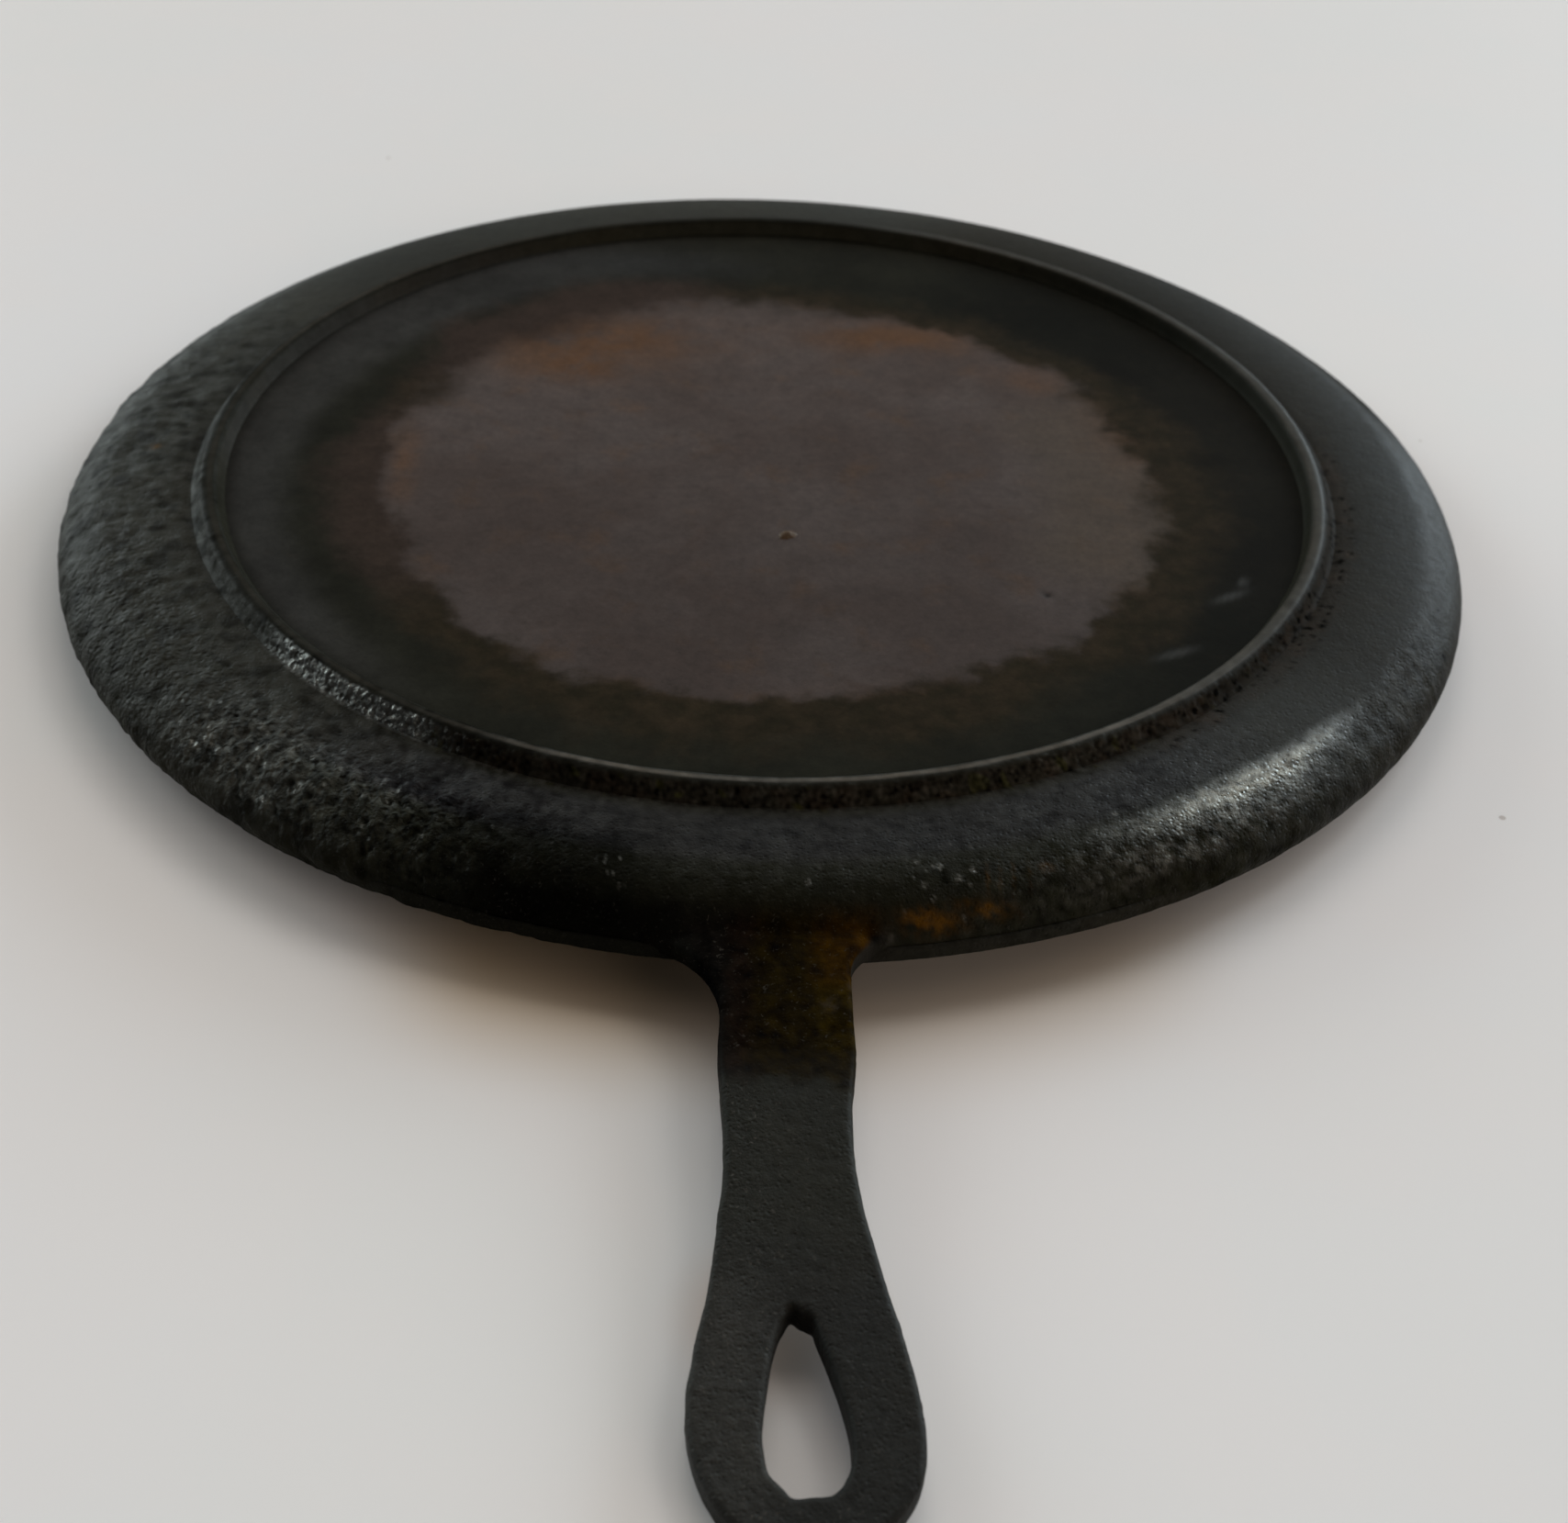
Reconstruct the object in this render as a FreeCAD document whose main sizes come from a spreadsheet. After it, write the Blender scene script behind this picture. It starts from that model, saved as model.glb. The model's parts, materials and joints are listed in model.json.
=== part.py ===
import FreeCAD, Part
import math
import os

import Sketcher
from FreeCAD import Placement, Rotation, Vector

# Shallow round cast iron skillet with a raised heat ring and a flat handle with a teardrop hole.
# Each region of the casting is a closed solid that meets its neighbours face to face.
#
# The origin is on the pan's axis, in the plane of the rim.  +Z comes out of the underside, so the
# cooking face looks down.  The handle runs out along -Y and dips towards -Z.  East is +X, west -X.

# ---------------------------------------------------------------- driving dimensions, mm and degrees
SIZES = {
    # rim band
    "rim_radius": 150.0, "rim_inner_radius": 145.4, "rim_height": 2.9,
    "rim_corner": 0.5,                      # chamfer on both outer corners
    "rim_draft": 0.8,                       # how far the inner face leans out at z = 0
    # side wall: its outer skin runs from the foot at the rim, by the knee, to the shoulder
    "wall_foot_radius": 149.0,
    "wall_knee_radius": 139.5, "wall_knee_z": 11.0,
    "shoulder_radius": 122.4,
    "wall_edge_curve": 13.5,                # foot to knee
    "shoulder_curve": 74.0,                 # knee to shoulder
    "wall_inner_curve": 19.9,               # cooking face to rim
    # floor
    "cooking_flat_radius": 132.0, "cooking_face_z": 8.0,
    "plate_radius": 115.0, "plate_thickness": 4.4,
    # heat ring
    "ring_crest_z": 15.6, "ring_crest_inner": 117.2, "ring_crest_outer": 119.0,
    "ring_inner_top": 116.6, "ring_inner_top_z": 15.1,
    "ring_outer_top": 119.9, "ring_outer_top_z": 15.0,
    "ring_outer_foot": 121.3, "ring_outer_foot_z": 13.0,
    # casting nub
    "nub_radius": 1.9, "nub_height": 0.7, "nub_x": 3.6, "nub_y": -30.6,
    # handle: distances run along its own flat face from the edge of the rim
    "handle_slope": 5.7, "handle_face_z": 6.0, "handle_thickness": 5.6, "edge_round": 1.2,
    "root_length": 24.0, "root_half_width": 11.0,
    "root_inset": 14.0,                     # how far the root blank reaches in past the rim
    "root_fillet_west": 16.0, "root_fillet_east": 7.5,
    "waist_distance": 44.0, "waist_half_width": 10.0,
    "neck_length": 60.0, "neck_end_half_width": 11.7,
    "eye_end_radius": 17.0, "eye_end_distance": 95.5,
    "hole_apex_distance": 73.4, "hole_end_radius": 6.7, "hole_end_distance": 96.5,
}

doc = FreeCAD.newDocument("skillet")
sheet = doc.addObject("Spreadsheet::Sheet", "sizes")
for row, (name, value) in enumerate(SIZES.items(), 1):
    sheet.set("A%d" % row, name)
    sheet.set("B%d" % row, "%g" % value)
    sheet.setAlias("B%d" % row, name)
doc.recompute()


# ---------------------------------------------------------------- formulas
# A formula is a sum or difference of size names, such as "rim_radius - rim_corner" or
# "-neck_length".  None stands for a coordinate that lies on the sketch axis.
def value_of(formula):
    terms = (formula or "").replace("- ", "-").replace("+ ", "").split()
    return sum(-SIZES[term[1:]] if term.startswith("-") else SIZES[term] for term in terms)


def expression(formula):
    """The formula as an expression on the spreadsheet's cells."""
    words = [word if word in "+-" else "sizes." + word for word in formula.split()]
    return " ".join(words).replace("sizes.-", "-sizes.")


# ---------------------------------------------------------------- sketch helpers
START, END, CENTRE = 1, 2, 3        # point positions on a sketch edge
X_AXIS, Y_AXIS = -1, -2
ORIGIN = (-1, START)
LEFT, RIGHT = 1, -1                 # side of an arc's centre, looking from its start to its end


def new_body(label):
    body = doc.addObject("PartDesign::Body", label)
    body.Label = label
    return body


def new_sketch(body, label, role):
    sketch = body.newObject("Sketcher::SketchObject", label)
    plane = [o for o in body.Origin.OriginFeatures if o.Role == role][0]
    sketch.AttachmentSupport = (plane, [""])
    sketch.MapMode = "FlatFace"
    return sketch


def circle(centre, radius):
    return Part.Circle(Vector(*centre, 0), Vector(0, 0, 1), radius)


def add_line(sketch, start, end):
    return sketch.addGeometry(Part.LineSegment(Vector(*start, 0), Vector(*end, 0)), False)


def add_arc(sketch, centre, radius, start_angle, end_angle):
    """Counter-clockwise arc."""
    arc = Part.ArcOfCircle(circle(centre, radius), start_angle, end_angle)
    return sketch.addGeometry(arc, False)


def constrain(sketch, kind, *args):
    return sketch.addConstraint(Sketcher.Constraint(kind, *args))


def drive(sketch, formula, kind, *places):
    """Add a dimension that follows a formula."""
    index = constrain(sketch, kind, *places, value_of(formula))
    sketch.setExpression("Constraints[%d]" % index, expression(formula))


def fix_point(sketch, edge, position, x, y):
    """Hold a point at formulas x, y from the sketch origin."""
    for kind, formula, axis in (("DistanceX", x, Y_AXIS), ("DistanceY", y, X_AXIS)):
        if formula is None:
            constrain(sketch, "PointOnObject", edge, position, axis)
        else:
            drive(sketch, formula, kind, *ORIGIN, edge, position)


def fix_cross_line(sketch, edge, east_end, half_width, distance):
    """Hold both ends of a line across the handle, where two of its pieces meet."""
    west_end = START if east_end == END else END
    fix_point(sketch, edge, east_end, half_width, "-" + distance)
    fix_point(sketch, edge, west_end, "-" + half_width, "-" + distance)


def end_near(sketch, edge, point):
    target = Vector(*point, 0)
    return min((START, END), key=lambda end: (sketch.getPoint(edge, end) - target).Length)


def join(sketch, first, second, point):
    constrain(sketch, "Coincident", first, end_near(sketch, first, point),
              second, end_near(sketch, second, point))


def arc_between(sketch, start, end, radius, side):
    """Circular arc between two points.  Returns the edge and its positions at start and end."""
    across_x, across_y = end[0] - start[0], end[1] - start[1]
    half = math.hypot(across_x, across_y) / 2
    offset = math.sqrt(radius * radius - half * half) * side
    centre = ((start[0] + end[0]) / 2 - across_y / (2 * half) * offset,
              (start[1] + end[1]) / 2 + across_x / (2 * half) * offset)
    start_angle = math.atan2(start[1] - centre[1], start[0] - centre[0])
    end_angle = math.atan2(end[1] - centre[1], end[0] - centre[0])
    if side == LEFT:
        return add_arc(sketch, centre, radius, start_angle, end_angle), START, END
    return add_arc(sketch, centre, radius, end_angle, start_angle), END, START


def draw_loop(sketch, corners):
    """Closed loop.  A corner is (x, y), or (x, y, radius, side) when the edge leaving it is an arc.
    x, y and radius are formulas."""
    points = [(value_of(corner[0]), value_of(corner[1])) for corner in corners]
    edges = []
    for corner, start, end in zip(corners, points, points[1:] + points[:1]):
        if len(corner) > 2:
            edges.append(arc_between(sketch, start, end, value_of(corner[2]), corner[3]))
        else:
            edges.append((add_line(sketch, start, end), START, END))
    for (edge, _, last), (following, first, _) in zip(edges, edges[1:] + edges[:1]):
        constrain(sketch, "Coincident", edge, last, following, first)
    for (edge, first, _), corner in zip(edges, corners):
        fix_point(sketch, edge, first, corner[0], corner[1])
    for (edge, _, _), corner in zip(edges, corners):
        if len(corner) > 2:
            drive(sketch, corner[2], "Radius", edge)


# ---------------------------------------------------------------- turned regions
UNDERSIDE_Z = "cooking_face_z + plate_thickness"

# outer skin of the rim, from z = 0 up
RIM_EDGE = [
    ("rim_radius - rim_corner", None),
    ("rim_radius", "rim_corner"),
    ("rim_radius", "rim_height - rim_corner"),
    ("rim_radius - rim_corner", "rim_height"),
]
# outer skin of the wall, from the rim to the heat ring
OUTER_WALL = [
    ("wall_foot_radius", "rim_height", "wall_edge_curve", LEFT),
    ("wall_knee_radius", "wall_knee_z", "shoulder_curve", LEFT),
    ("shoulder_radius", UNDERSIDE_Z),
]

# half profiles: radius, z
SIDE_WALL = [
    ("plate_radius", "cooking_face_z"),
    ("cooking_flat_radius", "cooking_face_z", "wall_inner_curve", RIGHT),
    ("rim_inner_radius", "rim_height"),
    *OUTER_WALL,
    ("plate_radius", UNDERSIDE_Z),
]
RIM_BAND = [
    ("rim_inner_radius", "rim_height"),
    ("rim_inner_radius + rim_draft", None),
    *RIM_EDGE,
]
HEAT_RING = [
    ("plate_radius", UNDERSIDE_Z),
    ("shoulder_radius", UNDERSIDE_Z),
    ("ring_outer_foot", "ring_outer_foot_z"),
    ("ring_outer_top", "ring_outer_top_z"),
    ("ring_crest_outer", "ring_crest_z"),
    ("ring_crest_inner", "ring_crest_z"),
    ("ring_inner_top", "ring_inner_top_z"),
]
# everything inside the outer skin of the rim and wall
PAN_SKIN = [(None, None), *RIM_EDGE, *OUTER_WALL, (None, UNDERSIDE_Z)]


def revolve(body, sketch):
    """Turn a half profile about the sketch's vertical axis."""
    doc.recompute()
    turned = body.newObject("PartDesign::Revolution", body.Label + "_turned")
    turned.Profile = sketch
    turned.ReferenceAxis = (sketch, ["V_Axis"])
    turned.Angle = 360.0
    body.Tip = turned
    doc.recompute()


def make_turned(label, corners):
    body = new_body(label)
    sketch = new_sketch(body, label + "_profile", "XZ_Plane")
    draw_loop(sketch, corners)
    revolve(body, sketch)
    return body


def make_base_plate():
    """Flat floor inside the heat ring."""
    body = new_body("base_plate")
    sketch = new_sketch(body, "base_plate_disc", "XY_Plane")
    disc = sketch.addGeometry(circle((0, 0), SIZES["plate_radius"]), False)
    constrain(sketch, "Coincident", disc, CENTRE, *ORIGIN)
    drive(sketch, "plate_radius", "Radius", disc)
    sketch.AttachmentOffset = Placement(Vector(0, 0, SIZES["cooking_face_z"]), Rotation())
    sketch.setExpression("AttachmentOffset.Base.z", expression("cooking_face_z"))
    pad = body.newObject("PartDesign::Pad", "base_plate_pad")
    pad.Profile = sketch
    pad.setExpression("Length", expression("plate_thickness"))
    body.Tip = pad
    doc.recompute()
    return body


def make_casting_nub():
    """Low spherical cap on the underside of the base plate."""
    radius, height = SIZES["nub_radius"], SIZES["nub_height"]
    ball_radius = (radius * radius + height * height) / (2 * height)
    centre_y = height - ball_radius
    foot_angle = math.asin(-centre_y / ball_radius)

    body = new_body("casting_nub")
    sketch = new_sketch(body, "casting_nub_profile", "XZ_Plane")
    dome = add_arc(sketch, (0, centre_y), ball_radius, foot_angle, math.pi / 2)
    axis = add_line(sketch, (0, height), (0, 0))
    foot = add_line(sketch, (0, 0), (radius, 0))
    constrain(sketch, "Coincident", dome, END, axis, START)
    constrain(sketch, "Coincident", axis, END, foot, START)
    constrain(sketch, "Coincident", foot, END, dome, START)
    constrain(sketch, "Coincident", foot, START, *ORIGIN)
    constrain(sketch, "Vertical", axis)
    constrain(sketch, "Horizontal", foot)
    constrain(sketch, "PointOnObject", dome, CENTRE, Y_AXIS)
    drive(sketch, "nub_radius", "DistanceX", foot, START, foot, END)
    drive(sketch, "nub_height", "DistanceY", axis, END, axis, START)
    revolve(body, sketch)

    for direction, formula in (("x", "nub_x"), ("y", "nub_y"), ("z", UNDERSIDE_Z)):
        body.setExpression("Placement.Base." + direction, expression(formula))
    doc.recompute()
    return body


# ---------------------------------------------------------------- handle
# Its pieces are drawn on the flat face of the handle.  Sketch y = 0 is the edge of the rim.
ROOT_X, ROOT_Y = SIZES["root_half_width"], -SIZES["root_length"]
NECK_X, NECK_Y = SIZES["neck_end_half_width"], -SIZES["neck_length"]
ROOT_EAST, ROOT_WEST = (ROOT_X, ROOT_Y), (-ROOT_X, ROOT_Y)
NECK_EAST, NECK_WEST = (NECK_X, NECK_Y), (-NECK_X, NECK_Y)
TOLERANCE = 1e-6


def pad_slab(body, sketch):
    doc.recompute()
    slab = body.newObject("PartDesign::Pad", body.Label + "_slab")
    slab.Profile = sketch
    slab.Reversed = True
    slab.setExpression("Length", expression("handle_thickness"))
    body.Tip = slab
    doc.recompute()
    return slab


def round_edges(body, base, joint_ys, buried_y=math.inf):
    """Round the edges of the two flat faces, apart from those along the joints at joint_ys and
    those that reach buried_y, inside the pan."""
    def wanted(edge):
        zs = [vertex.Z for vertex in edge.Vertexes]
        ys = [vertex.Y for vertex in edge.Vertexes]
        flat = any(all(abs(z - face_z) < TOLERANCE for z in zs)
                   for face_z in (0.0, -SIZES["handle_thickness"]))
        on_joint = any(all(abs(y - joint_y) < TOLERANCE for y in ys) for joint_y in joint_ys)
        return flat and not on_joint and max(ys) < buried_y - TOLERANCE

    names = ["Edge%d" % i for i, edge in enumerate(base.Shape.Edges, 1) if wanted(edge)]
    fillet = body.newObject("PartDesign::Fillet", body.Label + "_edges")
    fillet.Base = (base, names)
    fillet.setExpression("Radius", expression("edge_round"))
    body.Tip = fillet
    doc.recompute()


def place_on_handle(body):
    """Move the sketch plane onto the sloping face, which starts at the rim."""
    body.Placement = Placement(Vector(0, -SIZES["rim_radius"], SIZES["handle_face_z"]),
                               Rotation(Vector(1, 0, 0), SIZES["handle_slope"]))
    body.setExpression("Placement.Base.y", expression("-rim_radius"))
    body.setExpression("Placement.Base.z", expression("handle_face_z"))
    body.setExpression("Placement.Rotation.Angle", expression("handle_slope"))


def make_handle_neck():
    """Waisted shank between the root and the eye."""
    waist_x, waist_y = SIZES["waist_half_width"], -SIZES["waist_distance"]
    body = new_body("handle_neck")
    sketch = new_sketch(body, "handle_neck_outline", "XY_Plane")

    def add_flank(*points):
        return sketch.addGeometry(Part.Arc(*[Vector(*point, 0) for point in points]), False)

    east = add_flank(ROOT_EAST, (waist_x, waist_y), NECK_EAST)
    outer = add_line(sketch, NECK_EAST, NECK_WEST)
    west = add_flank(NECK_WEST, (-waist_x, waist_y), ROOT_WEST)
    inner = add_line(sketch, ROOT_WEST, ROOT_EAST)
    join(sketch, east, outer, NECK_EAST)
    join(sketch, outer, west, NECK_WEST)
    join(sketch, west, inner, ROOT_WEST)
    join(sketch, inner, east, ROOT_EAST)
    fix_cross_line(sketch, inner, END, "root_half_width", "root_length")
    fix_cross_line(sketch, outer, START, "neck_end_half_width", "neck_length")
    flank_radius = abs(sketch.Geometry[east].Radius)
    for flank in (east, west):
        constrain(sketch, "Radius", flank, flank_radius)

    slab = pad_slab(body, sketch)
    round_edges(body, slab, (ROOT_Y, NECK_Y))
    place_on_handle(body)
    return body


def draw_eye_outline(sketch):
    """Straight sides from the neck, tangent to a round end."""
    radius, centre_y = SIZES["eye_end_radius"], -SIZES["eye_end_distance"]
    neck_distance = math.hypot(NECK_X, NECK_Y - centre_y)
    touch_angle = math.atan2(NECK_Y - centre_y, NECK_X) - math.acos(radius / neck_distance)
    touch_x = radius * math.cos(touch_angle)
    touch_y = centre_y + radius * math.sin(touch_angle)
    east = add_line(sketch, NECK_EAST, (touch_x, touch_y))
    end = add_arc(sketch, (0, centre_y), radius, math.pi - touch_angle, 2 * math.pi + touch_angle)
    west = add_line(sketch, (-touch_x, touch_y), NECK_WEST)
    inner = add_line(sketch, NECK_WEST, NECK_EAST)
    constrain(sketch, "Tangent", east, END, end, END)
    constrain(sketch, "Tangent", west, START, end, START)
    join(sketch, west, inner, NECK_WEST)
    join(sketch, inner, east, NECK_EAST)
    fix_cross_line(sketch, inner, END, "neck_end_half_width", "neck_length")
    fix_point(sketch, end, CENTRE, None, "-eye_end_distance")
    drive(sketch, "eye_end_radius", "Radius", end)


def draw_teardrop(sketch):
    """Half circle whose widest points carry two tangent arcs that meet at the apex."""
    radius, centre_y = SIZES["hole_end_radius"], -SIZES["hole_end_distance"]
    apex_height = SIZES["hole_end_distance"] - SIZES["hole_apex_distance"]
    flank_radius = (apex_height ** 2 + radius ** 2) / (2 * radius)
    flank_x = flank_radius - radius
    apex_angle = math.atan2(apex_height, flank_x)
    east = add_arc(sketch, (-flank_x, centre_y), flank_radius, 0.0, apex_angle)
    west = add_arc(sketch, (flank_x, centre_y), flank_radius, math.pi - apex_angle, math.pi)
    end = add_arc(sketch, (0, centre_y), radius, math.pi, 2 * math.pi)
    constrain(sketch, "Coincident", east, END, west, START)
    constrain(sketch, "Tangent", west, END, end, START)
    constrain(sketch, "Tangent", end, END, east, START)
    constrain(sketch, "Equal", east, west)
    fix_point(sketch, east, END, None, "-hole_apex_distance")
    fix_point(sketch, end, CENTRE, None, "-hole_end_distance")
    drive(sketch, "hole_end_radius", "Radius", end)
    constrain(sketch, "DistanceY", end, START, end, CENTRE, 0.0)


def make_handle_eye():
    """Widened end of the handle with the teardrop hole."""
    body = new_body("handle_eye")
    sketch = new_sketch(body, "handle_eye_outline", "XY_Plane")
    draw_eye_outline(sketch)
    pad_slab(body, sketch)

    sketch = new_sketch(body, "handle_eye_hole", "XY_Plane")
    draw_teardrop(sketch)
    doc.recompute()
    hole = body.newObject("PartDesign::Pocket", "handle_eye_pocket")
    hole.Profile = sketch
    hole.Type = 1       # through all
    hole.Reversed = False
    body.Tip = hole
    doc.recompute()
    round_edges(body, hole, (NECK_Y,))
    place_on_handle(body)
    return body


def root_hollow(side, radius):
    """Concave arc tangent to one side of the root and to the rim's circle; side is +1 for east.
    Returns its end on the root, its end on the rim and its centre."""
    rim_radius = SIZES["rim_radius"]
    reach = rim_radius + radius
    centre_x = side * (ROOT_X + radius)
    centre_y = rim_radius - math.sqrt(reach * reach - centre_x * centre_x)
    ratio = rim_radius / reach
    touch = (centre_x * ratio, rim_radius + (centre_y - rim_radius) * ratio)
    return (side * ROOT_X, centre_y), touch, (centre_x, centre_y)


def make_root_blank():
    """Handle root before trimming: a wide hollow on the west side, a tight one on the east."""
    inset = SIZES["root_inset"]
    east_radius, west_radius = SIZES["root_fillet_east"], SIZES["root_fillet_west"]
    east_side, east_touch, east_centre = root_hollow(+1, east_radius)
    west_side, west_touch, west_centre = root_hollow(-1, west_radius)
    east_corner, west_corner = (east_touch[0], inset), (west_touch[0], inset)

    def touch_angle(touch, centre):
        return math.atan2(touch[1] - centre[1], touch[0] - centre[0])

    body = new_body("root_blank")
    sketch = new_sketch(body, "root_blank_outline", "XY_Plane")
    east = add_line(sketch, ROOT_EAST, east_side)
    east_hollow = add_arc(sketch, east_centre, east_radius,
                          touch_angle(east_touch, east_centre), math.pi)
    east_buried = add_line(sketch, east_touch, east_corner)
    buried_end = add_line(sketch, east_corner, west_corner)
    west_buried = add_line(sketch, west_corner, west_touch)
    west_hollow = add_arc(sketch, west_centre, west_radius,
                          0.0, touch_angle(west_touch, west_centre))
    west = add_line(sketch, west_side, ROOT_WEST)
    outer = add_line(sketch, ROOT_WEST, ROOT_EAST)

    constrain(sketch, "Tangent", east, END, east_hollow, end_near(sketch, east_hollow, east_side))
    join(sketch, east_hollow, east_buried, east_touch)
    join(sketch, east_buried, buried_end, east_corner)
    join(sketch, buried_end, west_buried, west_corner)
    join(sketch, west_buried, west_hollow, west_touch)
    constrain(sketch, "Tangent", west, START, west_hollow, end_near(sketch, west_hollow, west_side))
    join(sketch, west, outer, ROOT_WEST)
    join(sketch, outer, east, ROOT_EAST)
    fix_cross_line(sketch, outer, END, "root_half_width", "root_length")
    for edge in (east, west, east_buried, west_buried):
        constrain(sketch, "Vertical", edge)
    constrain(sketch, "Horizontal", buried_end)
    drive(sketch, "root_inset", "DistanceY", *ORIGIN, buried_end, START)
    drive(sketch, "root_fillet_east", "Radius", east_hollow)
    drive(sketch, "root_fillet_west", "Radius", west_hollow)
    constrain(sketch, "DistanceY", *ORIGIN, east_hollow, CENTRE, east_centre[1])
    constrain(sketch, "DistanceY", *ORIGIN, west_hollow, CENTRE, west_centre[1])
    constrain(sketch, "DistanceX", *ORIGIN, east_buried, START, east_touch[0])
    constrain(sketch, "DistanceX", west_buried, END, *ORIGIN, -west_touch[0])

    slab = pad_slab(body, sketch)
    round_edges(body, slab, (ROOT_Y,), buried_y=inset)
    place_on_handle(body)
    return body


def make_handle_root(blank):
    """Root trimmed to the outer skin of the pan."""
    root = doc.addObject("Part::Cut", "handle_root")
    root.Label = "handle_root"
    root.Base = blank
    root.Tool = make_turned("pan_skin", PAN_SKIN)
    doc.recompute()
    return root


# ---------------------------------------------------------------- build
base_plate = make_base_plate()
side_wall = make_turned("side_wall", SIDE_WALL)
rim_band = make_turned("rim_band", RIM_BAND)
heat_ring = make_turned("heat_ring", HEAT_RING)
casting_nub = make_casting_nub()
handle_neck = make_handle_neck()
handle_eye = make_handle_eye()
handle_root = make_handle_root(make_root_blank())
NODES = [base_plate, side_wall, rim_band, heat_ring, casting_nub,
         handle_root, handle_neck, handle_eye]
doc.recompute()

# ---------------------------------------------------------------- checks
MAX_OVERLAP = 0.01      # mm3
for item in doc.Objects:
    faults = [state for state in getattr(item, "State", []) if state in ("Invalid", "Error")]
    if faults:
        raise RuntimeError("%s is %s" % (item.Label, faults))
for node in NODES:
    shape = node.Shape
    if shape.isNull() or not shape.isValid() or len(shape.Solids) != 1 or shape.Volume <= 0:
        raise RuntimeError("%s has no valid single solid" % node.Label)
for i, node in enumerate(NODES):
    for other in NODES[i + 1:]:
        if node.Shape.BoundBox.intersect(other.Shape.BoundBox):
            shared = node.Shape.common(other.Shape).Volume
            if shared > MAX_OVERLAP:
                raise RuntimeError("%s and %s share %.3f mm3" % (node.Label, other.Label, shared))

# ---------------------------------------------------------------- one file for each region
os.makedirs("parts", exist_ok=True)
for node in NODES:
    node.Shape.Solids[0].exportStep("parts/%s.step" % node.Label)
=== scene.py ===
# A cast-iron frying pan lying upside down on a pale floor.
# The pan's axis is Z, with z = 0 at the rim's lower edge and the flat of the base facing up.
# The handle runs towards -Y and falls away from the rim. East is +X, west is -X, far is +Y.
# Shapes are worked out in millimetres and written to the meshes in metres.
import json
import math
from itertools import product

import bpy
import numpy as np
from mathutils import Matrix, Vector
from mathutils.geometry import delaunay_2d_cdt


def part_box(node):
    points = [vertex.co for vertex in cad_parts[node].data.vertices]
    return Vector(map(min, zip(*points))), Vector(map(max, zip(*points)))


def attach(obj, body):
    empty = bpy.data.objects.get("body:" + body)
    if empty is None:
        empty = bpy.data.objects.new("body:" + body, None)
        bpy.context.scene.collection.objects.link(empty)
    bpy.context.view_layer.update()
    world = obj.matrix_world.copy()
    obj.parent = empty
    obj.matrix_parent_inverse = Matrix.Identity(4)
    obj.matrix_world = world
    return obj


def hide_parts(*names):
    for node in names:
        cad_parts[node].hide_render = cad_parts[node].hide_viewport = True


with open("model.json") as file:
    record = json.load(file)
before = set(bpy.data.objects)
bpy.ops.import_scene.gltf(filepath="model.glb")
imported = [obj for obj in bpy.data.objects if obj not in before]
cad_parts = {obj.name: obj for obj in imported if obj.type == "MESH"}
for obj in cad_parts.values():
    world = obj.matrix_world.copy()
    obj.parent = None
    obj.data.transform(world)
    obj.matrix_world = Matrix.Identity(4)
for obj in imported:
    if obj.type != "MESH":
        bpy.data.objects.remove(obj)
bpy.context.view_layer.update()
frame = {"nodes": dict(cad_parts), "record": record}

scene = bpy.context.scene
MM = 0.001


# ================================================================ sizes read from the frame, mm
def mm_box(node):
    low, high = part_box(node)
    return [v * 1000.0 for v in low], [v * 1000.0 for v in high]


rim_high = mm_box("rim_band")[1]
plate_low, plate_high = mm_box("base_plate")
nub_low, nub_high = mm_box("casting_nub")
eye_low, eye_high = mm_box("handle_eye")
RIM_R = max(rim_high[0], rim_high[1])
UNIT = RIM_R / 150.0                    # sizes times UNIT are written for a 150 mm rim
Z_TOP = plate_high[2]                   # flat of the base
Z_COOK = plate_low[2]                   # cooking face
Z_RING = mm_box("heat_ring")[1][2]      # crest of the heat ring
Z_RIM = rim_high[2]                     # crease between the rim band and the wall

eye_mount = next(m for m in frame["record"]["mounts"] if m["name"] == "hanging_eye")
eye_axis = eye_mount.get("axis", (0.0, -0.09932, 0.99506))
SLOPE = math.atan2(-eye_axis[1], eye_axis[2])       # fall of the handle away from the rim
THICK = 5.6 * UNIT                                  # of the handle
ROOT_END = 24.0 * UNIT                              # along the slope, from the rim
NECK_END = 60.0 * UNIT
# the handle's own axes: along it, and out of its top face, from a point above the rim
HANDLE_START = np.array([0.0, -RIM_R, eye_high[2] + NECK_END * math.sin(SLOPE)])
ALONG = np.array([0.0, -math.cos(SLOPE), -math.sin(SLOPE)])
FACING = np.array([0.0, -math.sin(SLOPE), math.cos(SLOPE)])
TIP = (-RIM_R - eye_low[1]) / math.cos(SLOPE)       # length along the top face


# ================================================================ noise and masks
def hash_cell(ix, iy, iz, seed):
    bits = (ix * 73856093) ^ (iy * 19349663) ^ (iz * 83492791)
    bits = (bits ^ ((seed * 2654435761) & 0x7FFFFFFF)) & 0xFFFFFFFF
    for _ in range(2):
        bits = ((bits ^ (bits >> 16)) * 0x45D9F3B) & 0xFFFFFFFF
    return bits ^ (bits >> 16)


def thirds(bits):
    """Three numbers 0..1023 out of each hash."""
    return np.stack([(bits >> shift) & 1023 for shift in (0, 10, 20)])


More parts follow.
